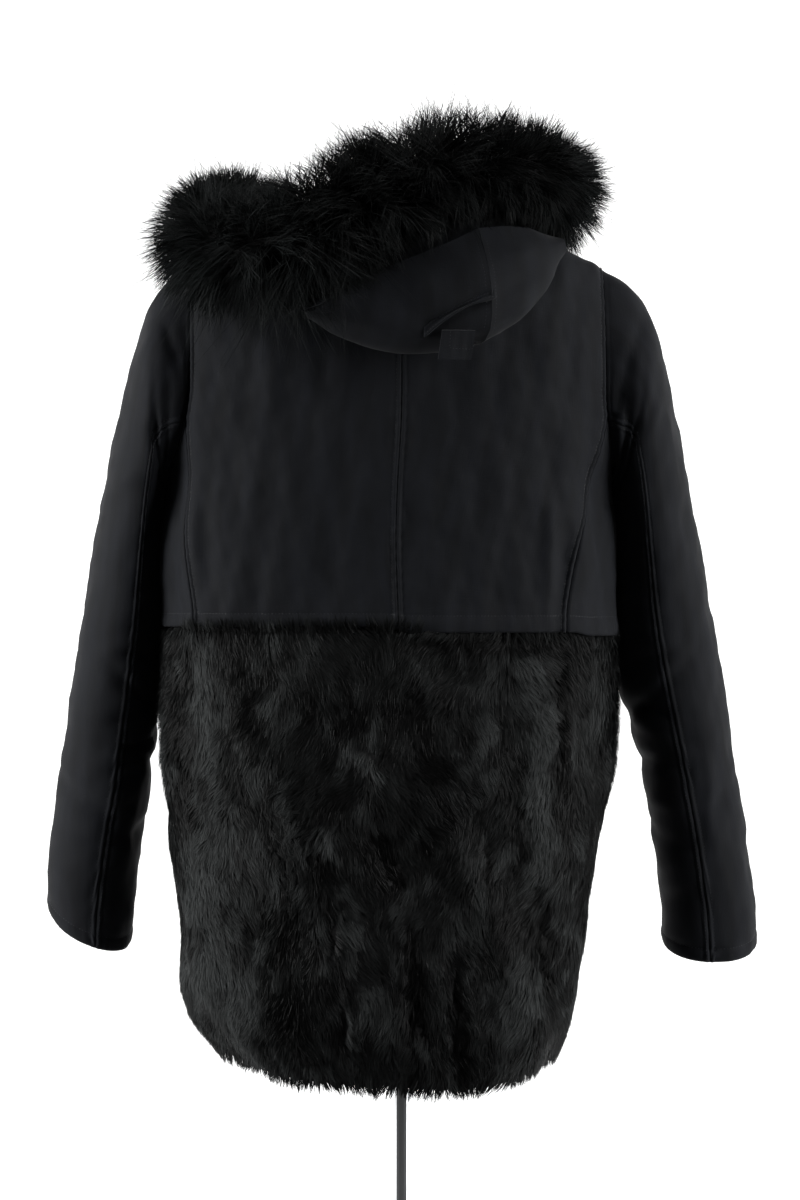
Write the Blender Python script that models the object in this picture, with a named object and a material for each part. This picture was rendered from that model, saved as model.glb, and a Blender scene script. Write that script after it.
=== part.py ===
"""Black hooded parka with a fur skirt and a fur-edged hood, worn by a dress form on a pole.

Metres, +Z up. The origin is on the floor under the pole. The coat's back faces -Y and its
front faces +Y, so +X is the wearer's right. Angles round the body run from the centre of
the back (0) to the right side (90) and the centre of the front (180); the left is negative.
"""

from collections import namedtuple

import bpy
import numpy as np
from mathutils import Vector
from mathutils.bvhtree import BVHTree

# Driving dimensions
SEAM_GAP = 0.0003
CANVAS_WALL = 0.0025
FUR_WALL = 0.012
FUR_WALL_AT_WAIST = 0.006
FUR_LUMP = 0.0030
WAIST_HEIGHT = 1.0840
NECK_RING = 1.515
SHOULDER_TIP = 1.4570
UNDERARM = 1.240
ARMHOLE_WIDEST = 1.335
ARMHOLE_LEFT_X = -0.222
ARMHOLE_RIGHT_X = 0.210
PRINCESS_TOP = 1.300
BODY_CENTRE_Y = 0.010
SQUARENESS = 2.25

POLE_RADIUS = 0.0105
BASE_RADIUS = 0.190
BASE_THICKNESS = 0.010
FORM_BOTTOM = 0.820
FORM_NECK_TOP = 1.560
FORM_CLEARANCE = 0.0014
FORM_NECK_CLEARANCE = 0.0060
FORM_NECK_TAPER = 0.22
FORM_SIDES = 24
FORM_TORSO_RINGS = 27
FORM_NECK_RINGS = 4

# Rings of the coat's outer surface: edges seen from behind, and depths behind and in front.
Ring = namedtuple("Ring", "height left right back front")
CANVAS_RINGS = (
    Ring(1.0840, -0.249, 0.229, 0.118, 0.150),
    Ring(1.1810, -0.253, 0.227, 0.121, 0.157),
    Ring(1.2350, -0.246, 0.2235, 0.124, 0.163),
    Ring(1.2900, -0.250, 0.234, 0.125, 0.160),
    Ring(1.3500, -0.252, 0.238, 0.122, 0.150),
    Ring(1.4000, -0.245, 0.232, 0.115, 0.135),
    Ring(1.4300, -0.236, 0.224, 0.107, 0.120),
    Ring(1.4570, -0.222, 0.210, 0.097, 0.103),
    Ring(1.4745, -0.180, 0.170, 0.085, 0.087),
    Ring(1.4910, -0.132, 0.124, 0.073, 0.074),
    Ring(1.5045, -0.098, 0.093, 0.066, 0.067),
    Ring(1.5150, -0.080, 0.077, 0.062, 0.064),
)
FUR_RINGS = (
    Ring(0.5950, -0.152, 0.138, 0.100, 0.112),
    Ring(0.6180, -0.178, 0.160, 0.112, 0.124),
    Ring(0.6450, -0.202, 0.176, 0.123, 0.136),
    Ring(0.6690, -0.219, 0.184, 0.129, 0.143),
    Ring(0.6950, -0.228, 0.188, 0.133, 0.148),
    Ring(0.7845, -0.237, 0.203, 0.137, 0.154),
    Ring(0.8475, -0.245, 0.214, 0.139, 0.158),
    Ring(0.9105, -0.250, 0.222, 0.138, 0.160),
    Ring(0.9600, -0.254, 0.229, 0.135, 0.160),
    Ring(1.0155, -0.253, 0.233, 0.130, 0.158),
    Ring(1.0600, -0.250, 0.229, 0.124, 0.154),
    Ring(1.0840, -0.247, 0.227, 0.118, 0.149),
)

# Princess seams between the back and the side-back panels, in degrees round the body.
Seam = namedtuple("Seam", "height left right")
PRINCESS_SEAMS = (
    Seam(1.0840, -57.0, 44.5),
    Seam(1.1140, -57.5, 46.0),
    Seam(1.1790, -59.5, 51.0),
    Seam(1.2060, -60.5, 55.5),
    Seam(1.2490, -61.5, 59.5),
    Seam(1.3000, -61.5, 61.5),
)

# Soft folds pressed into the canvas: place round the body, heights between which they run.
Fold = namedtuple("Fold", "angle lean low high width depth")
BODY_FOLDS = (
    Fold(63.0, -6.0, 1.090, 1.260, 6.0, 0.0060),
    Fold(50.0, -4.0, 1.100, 1.240, 5.0, -0.0030),
    Fold(-68.0, 5.0, 1.090, 1.270, 6.0, 0.0050),
    Fold(-56.0, 3.0, 1.110, 1.330, 7.0, -0.0025),
    Fold(120.0, 4.0, 1.100, 1.330, 8.0, 0.0050),
    Fold(-118.0, -5.0, 1.120, 1.310, 7.0, 0.0055),
    Fold(148.0, 6.0, 1.130, 1.390, 6.0, 0.0035),
    Fold(-142.0, -8.0, 1.095, 1.350, 6.0, 0.0040),
)

# Sleeves: outer and inner edge as seen from behind, middle and half depth front to back,
# and how far the section leans back; along is 0 at the armhole and 1 at the cuff.
SleeveRing = namedtuple("SleeveRing", "along outer_x outer_z inner_x inner_z middle_y depth lean")
RIGHT_SLEEVE = (
    SleeveRing(0.00, 0.2105, 1.4570, 0.2225, 1.2400, 0.0100, 0.068, 0.0),
    SleeveRing(0.05, 0.2385, 1.4410, 0.2250, 1.2360, 0.0110, 0.073, 0.0),
    SleeveRing(0.10, 0.2600, 1.4180, 0.2270, 1.2300, 0.0130, 0.076, 0.0),
    SleeveRing(0.17, 0.2750, 1.3780, 0.2290, 1.2150, 0.0170, 0.077, 2.0),
    SleeveRing(0.25, 0.2900, 1.3190, 0.2315, 1.1850, 0.0230, 0.076, 4.0),
    SleeveRing(0.35, 0.3065, 1.2400, 0.2320, 1.1350, 0.0320, 0.073, 6.0),
    SleeveRing(0.45, 0.3225, 1.1650, 0.2330, 1.0800, 0.0400, 0.070, 8.0),
    SleeveRing(0.55, 0.3370, 1.0900, 0.2400, 1.0250, 0.0460, 0.067, 10.0),
    SleeveRing(0.65, 0.3500, 1.0150, 0.2520, 0.9700, 0.0500, 0.064, 12.0),
    SleeveRing(0.75, 0.3620, 0.9400, 0.2650, 0.9100, 0.0540, 0.061, 14.0),
    SleeveRing(0.85, 0.3745, 0.8650, 0.2770, 0.8430, 0.0580, 0.058, 16.0),
    SleeveRing(0.94, 0.3845, 0.7900, 0.2840, 0.7820, 0.0610, 0.055, 19.0),
    SleeveRing(1.00, 0.3880, 0.7450, 0.2855, 0.7440, 0.0640, 0.053, 21.0),
)
LEFT_SLEEVE = (
    SleeveRing(0.00, -0.2225, 1.4570, -0.2455, 1.2400, 0.0100, 0.068, 0.0),
    SleeveRing(0.05, -0.2450, 1.4410, -0.2480, 1.2360, 0.0110, 0.073, 0.0),
    SleeveRing(0.10, -0.2635, 1.4160, -0.2500, 1.2300, 0.0130, 0.076, 0.0),
    SleeveRing(0.17, -0.2785, 1.3730, -0.2520, 1.2150, 0.0180, 0.077, 2.0),
    SleeveRing(0.25, -0.2940, 1.3100, -0.2530, 1.1850, 0.0270, 0.074, 4.0),
    SleeveRing(0.35, -0.3095, 1.2360, -0.2515, 1.1350, 0.0380, 0.071, 6.0),
    SleeveRing(0.45, -0.3235, 1.1600, -0.2505, 1.0800, 0.0460, 0.069, 8.0),
    SleeveRing(0.55, -0.3355, 1.0850, -0.2525, 1.0250, 0.0510, 0.066, 10.0),
    SleeveRing(0.65, -0.3470, 1.0100, -0.2560, 0.9700, 0.0540, 0.063, 12.0),
    SleeveRing(0.75, -0.3570, 0.9380, -0.2620, 0.9150, 0.0570, 0.060, 14.0),
    SleeveRing(0.85, -0.3660, 0.8730, -0.2720, 0.8530, 0.0600, 0.057, 16.0),
    SleeveRing(0.94, -0.3715, 0.8150, -0.2790, 0.7890, 0.0620, 0.054, 20.0),
    SleeveRing(1.00, -0.3700, 0.7840, -0.2820, 0.7520, 0.0640, 0.052, 24.0),
)
SLEEVE_SQUARENESS = 2.15
BACK_SLEEVE_SEAM = (114.0, 98.0)
FRONT_SLEEVE_SEAM = (236.0, 246.0)

# Creases round the sleeves: where they sit along and round it, their spans and depth.
Crease = namedtuple("Crease", "along angle slant length width depth")
SLEEVE_CREASES = (
    Crease(0.10, 150.0, 0.030, 60.0, 0.016, 0.0050),
    Crease(0.17, 165.0, 0.040, 65.0, 0.018, 0.0060),
    Crease(0.52, 120.0, -0.020, 50.0, 0.014, 0.0030),
    Crease(0.60, 150.0, 0.030, 70.0, 0.014, 0.0045),
    Crease(0.66, 135.0, -0.030, 80.0, 0.013, 0.0040),
    Crease(0.71, 200.0, 0.020, 75.0, 0.013, 0.0045),
    Crease(0.78, 60.0, 0.025, 60.0, 0.015, 0.0030),
    Crease(0.58, 265.0, -0.025, 70.0, 0.014, 0.0045),
    Crease(0.82, 150.0, -0.020, 60.0, 0.012, 0.0030),
)

# The hood hangs down the back as a pouch: its place on the neck ring in degrees, the fold
# at its bottom, and how full the pouch is there.
HoodSection = namedtuple("HoodSection", "neck_angle fold_x fold_y fold_z fullness")
HOOD_SECTIONS = (
    HoodSection(-160.0, -0.036, 0.112, 1.468, 0.15),
    HoodSection(-125.0, -0.088, 0.088, 1.502, 0.25),
    HoodSection(-90.0, -0.116, 0.010, 1.520, 0.25),
    HoodSection(-66.0, -0.118, -0.050, 1.500, 0.30),
    HoodSection(-48.0, -0.122, -0.106, 1.440, 0.70),
    HoodSection(-35.0, -0.116, -0.137, 1.402, 1.00),
    HoodSection(-15.0, -0.075, -0.150, 1.375, 1.00),
    HoodSection(0.0, -0.015, -0.155, 1.355, 1.00),
    HoodSection(15.0, 0.045, -0.157, 1.362, 1.00),
    HoodSection(35.0, 0.100, -0.145, 1.385, 1.00),
    HoodSection(52.0, 0.134, -0.112, 1.425, 0.90),
    HoodSection(66.0, 0.142, -0.072, 1.462, 0.60),
    HoodSection(82.0, 0.124, -0.020, 1.500, 0.30),
    HoodSection(110.0, 0.108, 0.050, 1.508, 0.25),
    HoodSection(130.0, 0.085, 0.088, 1.490, 0.25),
    HoodSection(160.0, 0.036, 0.112, 1.468, 0.15),
)
HOOD_SEAM_ANGLE = 22.5
HOOD_EDGE_CLEARANCE = 0.0022
HOOD_WALL_CLEARANCE = 0.0010
HOOD_EDGE_MARGIN = 0.004
POUCH_HALF_WIDTH = 0.026

# The strap on the hood's lower back.
STRAP_LEFT_X = 0.028
STRAP_RIGHT_X = 0.061
STRAP_LOW = 1.351
STRAP_HIGH = 1.380
STRAP_SLANT = 0.004
STRAP_CLEARANCE = 0.0009
STRAP_WALL = 0.0030

# The ruff of long fur along the hood's edge: its middle line and its radius.
RuffSection = namedtuple("RuffSection", "x y z radius")
RUFF_SECTIONS = (
    RuffSection(-0.030, 0.158, 1.425, 0.038),
    RuffSection(-0.085, 0.138, 1.472, 0.048),
    RuffSection(-0.145, 0.080, 1.510, 0.055),
    RuffSection(-0.184, 0.000, 1.508, 0.058),
    RuffSection(-0.203, -0.082, 1.482, 0.062),
    RuffSection(-0.175, -0.138, 1.462, 0.064),
    RuffSection(-0.110, -0.165, 1.475, 0.064),
    RuffSection(-0.035, -0.165, 1.508, 0.064),
    RuffSection(0.045, -0.145, 1.540, 0.062),
    RuffSection(0.112, -0.105, 1.548, 0.061),
    RuffSection(0.152, -0.040, 1.547, 0.057),
    RuffSection(0.162, 0.035, 1.534, 0.053),
    RuffSection(0.132, 0.102, 1.508, 0.051),
    RuffSection(0.080, 0.140, 1.465, 0.047),
    RuffSection(0.030, 0.158, 1.425, 0.038),
)

# The dress form below the shoulders, where it no longer follows the coat.
FormRing = namedtuple("FormRing", "height half_width back front")
FORM_RINGS = (
    FormRing(0.820, 0.150, 0.092, 0.098),
    FormRing(0.860, 0.166, 0.104, 0.106),
    FormRing(0.930, 0.172, 0.108, 0.108),
    FormRing(1.010, 0.158, 0.094, 0.100),
    FormRing(1.090, 0.130, 0.074, 0.088),
    FormRing(1.150, 0.120, 0.070, 0.088),
    FormRing(1.220, 0.132, 0.080, 0.104),
    FormRing(1.290, 0.148, 0.092, 0.122),
    FormRing(1.350, 0.162, 0.096, 0.108),
    FormRing(1.400, 0.178, 0.094, 0.090),
)

CANVAS = ("canvas", (0.012, 0.013, 0.017), 0.82, 0.0)
FUR = ("short_fur", (0.006, 0.006, 0.007), 0.55, 0.0)
LONG_FUR = ("long_fur", (0.005, 0.005, 0.006), 0.50, 0.0)
FORM_JERSEY = ("form_jersey", (0.80, 0.78, 0.73), 0.85, 0.0)
CHROME = ("chrome", (0.80, 0.81, 0.82), 0.10, 1.0)


def clear_scene():
    for obj in list(bpy.data.objects):
        bpy.data.objects.remove(obj, do_unlink=True)


def material(finish):
    name, colour, roughness, metallic = finish
    found = bpy.data.materials.get(name)
    if found:
        return found
    made = bpy.data.materials.new(name)
    made.use_nodes = True
    shader = made.node_tree.nodes["Principled BSDF"]
    shader.inputs["Base Color"].default_value = (*colour, 1.0)
    shader.inputs["Roughness"].default_value = roughness
    shader.inputs["Metallic"].default_value = metallic
    return made


def add_object(name, points, faces, finish):
    """A mesh object with its faces turned outwards."""
    mesh = bpy.data.meshes.new(name)
    mesh.from_pydata([tuple(point) for point in points], [], faces)
    mesh.validate()
    mesh.calc_loop_triangles()
    corners = np.array([points[list(tri.vertices)] for tri in mesh.loop_triangles])
    if np.linalg.det(corners).sum() < 0:
        mesh.flip_normals()
    mesh.shade_smooth()
    mesh.set_sharp_from_angle(angle=np.radians(40))
    mesh.materials.append(material(finish))
    obj = bpy.data.objects.new(name, mesh)
    bpy.context.scene.collection.objects.link(obj)
    return obj


def column(table, name):
    return np.array([getattr(row, name) for row in table])


def read_table(table, key, name, at):
    """A smooth curve through one column of a table, read at values of its key column."""
    places = column(table, key)
    values = column(table, name)
    slopes = np.gradient(values, places)
    at = np.clip(at, places[0], places[-1])
    i = np.clip(np.searchsorted(places, at, side="right") - 1, 0, len(places) - 2)
    span = places[i + 1] - places[i]
    t = (at - places[i]) / span
    return (
        values[i] * (1 + 2 * t) * (1 - t) ** 2
        + slopes[i] * span * t * (1 - t) ** 2
        + values[i + 1] * t**2 * (3 - 2 * t)
        - slopes[i + 1] * span * t**2 * (1 - t)
    )


def smooth_step(low, high, value):
    t = np.clip((value - low) / (high - low), 0, 1)
    return t * t * (3 - 2 * t)


def ring_point(rings, angle, height):
    """Points of a ringed surface, at angles round the body in degrees and at ring heights."""
    turn = np.radians(angle)
    sine, cosine = np.sin(turn), np.cos(turn)
    round_off = (np.abs(sine) ** SQUARENESS + np.abs(cosine) ** SQUARENESS) ** (1 / SQUARENESS)
    left = read_table(rings, "height", "left", height)
    right = read_table(rings, "height", "right", height)
    back = read_table(rings, "height", "back", height)
    front = read_table(rings, "height", "front", height)
    depth = np.where(cosine > 0, back, front)
    x = (left + right) / 2 + (right - left) / 2 * sine / round_off
    y = BODY_CENTRE_Y - depth * cosine / round_off
    return np.stack([x, y, height + 0 * x], axis=-1)


def fold_depth(angle, height):
    """How far the folds push the canvas out at a place on the body."""
    total = 0 * angle
    for fold in BODY_FOLDS:
        share = (height - fold.low) / (fold.high - fold.low)
        line = fold.angle + fold.lean * (share - 0.5)
        rise = np.clip(np.sin(np.pi * np.clip(share, 0, 1)), 0, 1)
        total = total - fold.depth * rise * np.exp(-(((angle - line) / fold.width) ** 2))
    return total


def canvas_surface(angle, height):
    """The outside of the coat's upper half, from the waist seam to the neck ring."""
    points = ring_point(CANVAS_RINGS, angle, height)
    outwards = points - np.array([0.0, BODY_CENTRE_Y, 0.0])
    outwards[..., 2] = 0
    outwards /= np.linalg.norm(outwards, axis=-1, keepdims=True)
    points = points + outwards * fold_depth(angle, height)[..., None]
    cosine = np.cos(np.radians(angle))
    nape_lift, nape_balance = 0.0315, -0.0135
    near_neck = smooth_step(1.40, NECK_RING, height)
    points[..., 2] += near_neck * (nape_lift * cosine + nape_balance * cosine**2)
    return points


def fur_hem_height(angle):
    """The hem is lowest behind and in front, and rises to rounded corners at the sides."""
    turn = np.radians(angle)
    return 0.611 - 0.009 * np.sin(turn) * np.cos(turn / 2) ** 2 + 0.030 * np.sin(turn) ** 4


def fur_lumps(angle, height):
    """Tufts of the pelts, as swells of the outer surface."""
    turn = np.radians(angle)
    return FUR_LUMP * (
        np.sin(9 * turn + 21 * height)
        + np.sin(5 * turn - 34 * height + 1.0)
        + 0.7 * np.sin(14 * turn + 47 * height + 2.0)
    ) * smooth_step(0, 0.06, WAIST_HEIGHT - height)


def fur_surface(angle, along):
    """The outside of the fur skirt; along is 0 at the waist and 1 at the hem."""
    height = WAIST_HEIGHT - SEAM_GAP + along * (fur_hem_height(angle) - WAIST_HEIGHT)
    points = ring_point(FUR_RINGS, angle, height)
    outwards = points - np.array([0.0, BODY_CENTRE_Y, 0.0])
    outwards[..., 2] = 0
    outwards /= np.linalg.norm(outwards, axis=-1, keepdims=True)
    return points + outwards * fur_lumps(angle, height)[..., None]


def fur_lining(angle, along):
    """The inside of the fur skirt, plain, under the pelts."""
    height = WAIST_HEIGHT - SEAM_GAP + along * (fur_hem_height(angle) - WAIST_HEIGHT)
    points = ring_point(FUR_RINGS, angle, height)
    outwards = points - np.array([0.0, BODY_CENTRE_Y, 0.0])
    outwards[..., 2] = 0
    outwards /= np.linalg.norm(outwards, axis=-1, keepdims=True)
    wall = FUR_WALL_AT_WAIST + (FUR_WALL - FUR_WALL_AT_WAIST) * smooth_step(0, 0.3, along)
    return points - outwards * wall[..., None]


def unit(vectors):
    return vectors / np.maximum(np.linalg.norm(vectors, axis=-1, keepdims=True), 1e-12)


def normals_of(surface, u, v, step_u, step_v):
    """Unit normals of a surface function, from differences along its two directions."""
    along_u = surface(u + step_u, v) - surface(u - step_u, v)
    along_v = surface(u, v + step_v) - surface(u, v - step_v)
    return unit(np.cross(along_u, along_v))


BODY_MIDDLE = np.array([0.0, BODY_CENTRE_Y, 1.20])


def outward_normals(surface, angle, height):
    """Unit normals of the body's surface, pointing away from the wearer."""
    step_angle, step_height = 0.05, 0.0002
    normal = normals_of(surface, angle, height, step_angle, step_height)
    away = (normal * (surface(angle, height) - BODY_MIDDLE)).sum(axis=-1, keepdims=True)
    return normal * np.sign(away)


def draw_in(grid, sides):
    """Moves the named edges of a grid of points half a seam gap into the piece."""
    half = SEAM_GAP / 2
    pairs = {
        "first_row": (grid[0], grid[1]),
        "last_row": (grid[-1], grid[-2]),
        "first_column": (grid[:, 0], grid[:, 1]),
        "last_column": (grid[:, -1], grid[:, -2]),
    }
    for side in sides:
        edge, beside = pairs[side]
        step = beside - edge
        length = np.maximum(np.linalg.norm(step, axis=-1, keepdims=True), 1e-9)
        edge += step / length * half


def closed_panel(name, outer, inner, finish):
    """One closed wall between an outer and an inner grid of points."""
    rows, columns = outer.shape[:2]
    points = np.concatenate([outer.reshape(-1, 3), inner.reshape(-1, 3)])
    count = rows * columns

    def at(i, j):
        return i * columns + j

    faces = []
    for i in range(rows - 1):
        for j in range(columns - 1):
            quad = (at(i, j), at(i, j + 1), at(i + 1, j + 1), at(i + 1, j))
            faces.append(quad)
            faces.append(tuple(count + k for k in reversed(quad)))
    rim = [at(0, j) for j in range(columns)]
    rim += [at(i, columns - 1) for i in range(1, rows)]
    rim += [at(rows - 1, j) for j in range(columns - 2, -1, -1)]
    rim += [at(i, 0) for i in range(rows - 2, 0, -1)]
    for a, b in zip(rim, rim[1:] + rim[:1]):
        # Both pieces at a seam split their edge faces along the same diagonal.
        if a < b:
            faces += [(b, a, count + b), (a, count + a, count + b)]
        else:
            faces += [(b, a, count + a), (b, count + a, count + b)]
    return add_object(name, points, faces, finish)


outer_skins = {}
ALL_SIDES = ("first_row", "last_row", "first_column", "last_column")


def armhole_loop(side, turns):
    """Angle and height of the armhole at turns in degrees: 0 at the shoulder, 90 behind,
    180 under the arm and 270 in front."""
    turn = np.radians(turns)
    lower = np.cos(turn) < 0
    reach = np.where(lower, ARMHOLE_WIDEST - UNDERARM, SHOULDER_TIP - ARMHOLE_WIDEST)
    height = ARMHOLE_WIDEST + reach * np.cos(turn)
    above = np.maximum(height, ARMHOLE_WIDEST)
    left = read_table(CANVAS_RINGS, "height", "left", above)
    right = read_table(CANVAS_RINGS, "height", "right", above)
    edge = ARMHOLE_RIGHT_X if side > 0 else ARMHOLE_LEFT_X
    share = np.abs(edge - (left + right) / 2) / ((right - left) / 2)
    power = np.clip(share, 0, 1 - 1e-9) ** SQUARENESS
    opening = 90 - np.degrees(np.arctan((power / (1 - power)) ** (1 / SQUARENESS)))
    opening = opening * np.where(lower, np.abs(np.sin(turn)), 1.0)
    behind = np.where(np.sin(turn) >= 0, -1.0, 1.0)
    return side * (90 + behind * opening), height


LOWER_ROWS = 8
ARMHOLE_ROWS = 7
DOME_ROWS = 5
BACK_COLUMNS = 9
SIDE_COLUMNS = 5
FRONT_COLUMNS = 10


def turn_at_height(height):
    """The turn behind, between 90 and 180, at which the armhole loop has this height."""
    return 180 - np.degrees(np.arccos((ARMHOLE_WIDEST - height) / (ARMHOLE_WIDEST - UNDERARM)))


def princess_angle(side, rise):
    """The princess seam's place round the body; rise is 0 at the waist, 1 at the armhole."""
    height = WAIST_HEIGHT + rise * (PRINCESS_TOP - WAIST_HEIGHT)
    angle = read_table(PRINCESS_SEAMS, "height", "right" if side > 0 else "left", height)
    top = armhole_loop(side, np.array(turn_at_height(PRINCESS_TOP)))[0]
    return angle + (top - PRINCESS_SEAMS[-1][2 if side > 0 else 1]) * rise**4


def canvas_panel(name, angle, height):
    outer = canvas_surface(angle, height)
    normal = outward_normals(canvas_surface, angle, height)
    inner = outer - CANVAS_WALL * normal
    for grid in (outer, inner):
        draw_in(grid, ALL_SIDES)
    outer_skins[name] = outer
    return closed_panel(name, outer, inner, CANVAS)


def dome_heights():
    share = np.linspace(0, 1, DOME_ROWS + 1)[1:]
    return SHOULDER_TIP + share * (NECK_RING - SHOULDER_TIP)


def back_panel(name, side):
    """Half of the back: centre seam, princess seam, armhole, shoulder seam and neck."""
    rise = np.linspace(0, 1, LOWER_ROWS)
    low = WAIST_HEIGHT + rise * (PRINCESS_TOP - WAIST_HEIGHT)
    low_edge = princess_angle(side, rise)
    turns = np.linspace(turn_at_height(PRINCESS_TOP), 0, ARMHOLE_ROWS + 1)
    loop_angle, loop_height = armhole_loop(side, turns)
    heights = np.concatenate([low, loop_height[1:], dome_heights()])
    edge = np.concatenate([low_edge, loop_angle[1:], np.full(DOME_ROWS, side * 90.0)])
    share = np.linspace(0, 1, BACK_COLUMNS)
    angle = edge[:, None] * share[None, :]
    height = heights[:, None] + 0 * angle
    return canvas_panel(name, angle, height)


def side_back_panel(name, side):
    """The strip between the princess seam and the side seam, up to the armhole."""
    turns = np.linspace(turn_at_height(PRINCESS_TOP), 180, SIDE_COLUMNS)
    loop_angle, loop_height = armhole_loop(side, turns)
    top_share = (loop_angle - loop_angle[0]) / (side * 90.0 - loop_angle[0])
    rise = np.linspace(0, 1, LOWER_ROWS)[:, None]
    height = WAIST_HEIGHT + rise * (loop_height[None, :] - WAIST_HEIGHT)
    back_edge = princess_angle(side, rise)
    even_share = np.linspace(0, 1, SIDE_COLUMNS)[None, :]
    share = even_share + (top_share[None, :] - even_share) * rise**3
    angle = back_edge + (side * 90.0 - back_edge) * share
    return canvas_panel(name, angle, height)


FRONT_OPENING_ANGLE = 179.6


def front_panel(name, side):
    """Half of the front: side seam, armhole, shoulder seam, neck and the front opening."""
    low = WAIST_HEIGHT + np.linspace(0, 1, LOWER_ROWS) * (UNDERARM - WAIST_HEIGHT)
    turns = np.linspace(180, 360, 2 * ARMHOLE_ROWS)
    loop_angle, loop_height = armhole_loop(side, turns)
    heights = np.concatenate([low, loop_height[1:], dome_heights()])
    edge = np.concatenate([np.full(LOWER_ROWS, side * 90.0), loop_angle[1:]])
    edge = np.concatenate([edge, np.full(DOME_ROWS, side * 90.0)])
    share = np.linspace(0, 1, FRONT_COLUMNS)
    angle = edge[:, None] + (side * FRONT_OPENING_ANGLE - edge[:, None]) * share[None, :]
    height = heights[:, None] + 0 * angle
    return canvas_panel(name, angle, height)


PLACKET_ANGLE = 12.0
PLACKET_CLEARANCE = 0.0013


def front_placket():
    """The fly that covers the front fastening: a strip on the fronts, moved out by a wall."""
    heights = np.linspace(WAIST_HEIGHT + 0.002, NECK_RING - 0.006, 17)
    angle = np.linspace(180 - PLACKET_ANGLE, 180 + PLACKET_ANGLE, 6)[None, :] + 0 * heights[:, None]
    height = heights[:, None] + 0 * angle
    surface = canvas_surface(angle, height)
    normal = outward_normals(canvas_surface, angle, height)
    inner = surface + PLACKET_CLEARANCE * normal
    outer = inner + CANVAS_WALL * normal
    outer_skins["front_placket"] = outer
    return closed_panel("front_placket", outer, inner, CANVAS)


FUR_ROWS = 12
FurPanel = namedtuple("FurPanel", "name start end columns")
FUR_PANELS = (
    FurPanel("fur_back_left", -55.0, 0.0, 9),
    FurPanel("fur_back_right", 0.0, 48.0, 8),
    FurPanel("fur_side_left", -100.0, -55.0, 8),
    FurPanel("fur_side_right", 48.0, 95.0, 8),
    FurPanel("fur_front_left", -179.6, -100.0, 9),
    FurPanel("fur_front_right", 95.0, 179.6, 9),
)


def fur_panel(panel):
    angle = np.linspace(panel.start, panel.end, panel.columns)[None, :]
    along = np.linspace(0, 1, FUR_ROWS)[:, None]
    angle, along = angle + 0 * along, along + 0 * angle
    outer = fur_surface(angle, along)
    inner = fur_lining(angle, along)
    for grid in (outer, inner):
        draw_in(grid, ("first_column", "last_column"))
    return closed_panel(panel.name, outer, inner, FUR)


def sleeve_surface(rings, side):
    """A surface function for a sleeve: turn in degrees, 0 outside and 90 behind; along it."""

    def crease_depth(turn, along):
        total = 0 * turn
        for crease in SLEEVE_CREASES:
            offset = (turn - crease.angle + 180) % 360 - 180
            reach = np.exp(-((offset / crease.length) ** 2))
            line = crease.along + crease.slant * offset / 60
            total = total - crease.depth * reach * np.exp(-(((along - line) / crease.width) ** 2))
        return total

    def surface(turn, along):
        cosine, sine = np.cos(np.radians(turn)), np.sin(np.radians(turn))
        power = SLEEVE_SQUARENESS
        round_off = (np.abs(sine) ** power + np.abs(cosine) ** power) ** (1 / power)
        read = {
            name: read_table(rings, "along", name, along)
            for name in SleeveRing._fields
            if name != "along"
        }
        middle = np.stack(
            [
                (read["outer_x"] + read["inner_x"]) / 2,
                read["middle_y"],
                (read["outer_z"] + read["inner_z"]) / 2,
            ],
            axis=-1,
        )
        across = np.stack(
            [
                (read["outer_x"] - read["inner_x"]) / 2,
                0 * along,
                (read["outer_z"] - read["inner_z"]) / 2,
            ],
            axis=-1,
        )
        lean = np.radians(read["lean"])
        behind = np.stack([0 * along, -np.cos(lean), -np.sin(lean)], axis=-1)
        behind = behind * read["depth"][..., None]
        share_out = (cosine / round_off)[..., None]
        share_back = (sine / round_off)[..., None]
        radial = across * share_out + behind * share_back
        length = np.linalg.norm(radial, axis=-1, keepdims=True)
        away = smooth_step(0.02, 0.08, along) * smooth_step(0, 0.04, 1 - along)
        radial = radial * (1 + (crease_depth(turn, along) * away)[..., None] / length)
        loop_angle, loop_height = armhole_loop(side, turn)
        armhole = canvas_surface(loop_angle, loop_height)
        near = (1 - smooth_step(0, 0.16, along))[..., None]
        first = ring_at_start(turn)
        return middle + radial + (armhole - first) * near

    def ring_at_start(turn):
        start = rings[0]
        cosine, sine = np.cos(np.radians(turn)), np.sin(np.radians(turn))
        power = SLEEVE_SQUARENESS
        round_off = (np.abs(sine) ** power + np.abs(cosine) ** power) ** (1 / power)
        middle = np.array(
            [(start.outer_x + start.inner_x) / 2, start.middle_y, (start.outer_z + start.inner_z) / 2]
        )
        across = np.array(
            [(start.outer_x - start.inner_x) / 2, 0, (start.outer_z - start.inner_z) / 2]
        )
        behind = np.array([0, -start.depth, 0])
        return (
            middle
            + across * (cosine / round_off)[..., None]
            + behind * (sine / round_off)[..., None]
        )

    return surface


SLEEVE_ROWS = 21
TOP_SLEEVE_COLUMNS = 11
UNDER_SLEEVE_COLUMNS = 7


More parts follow.
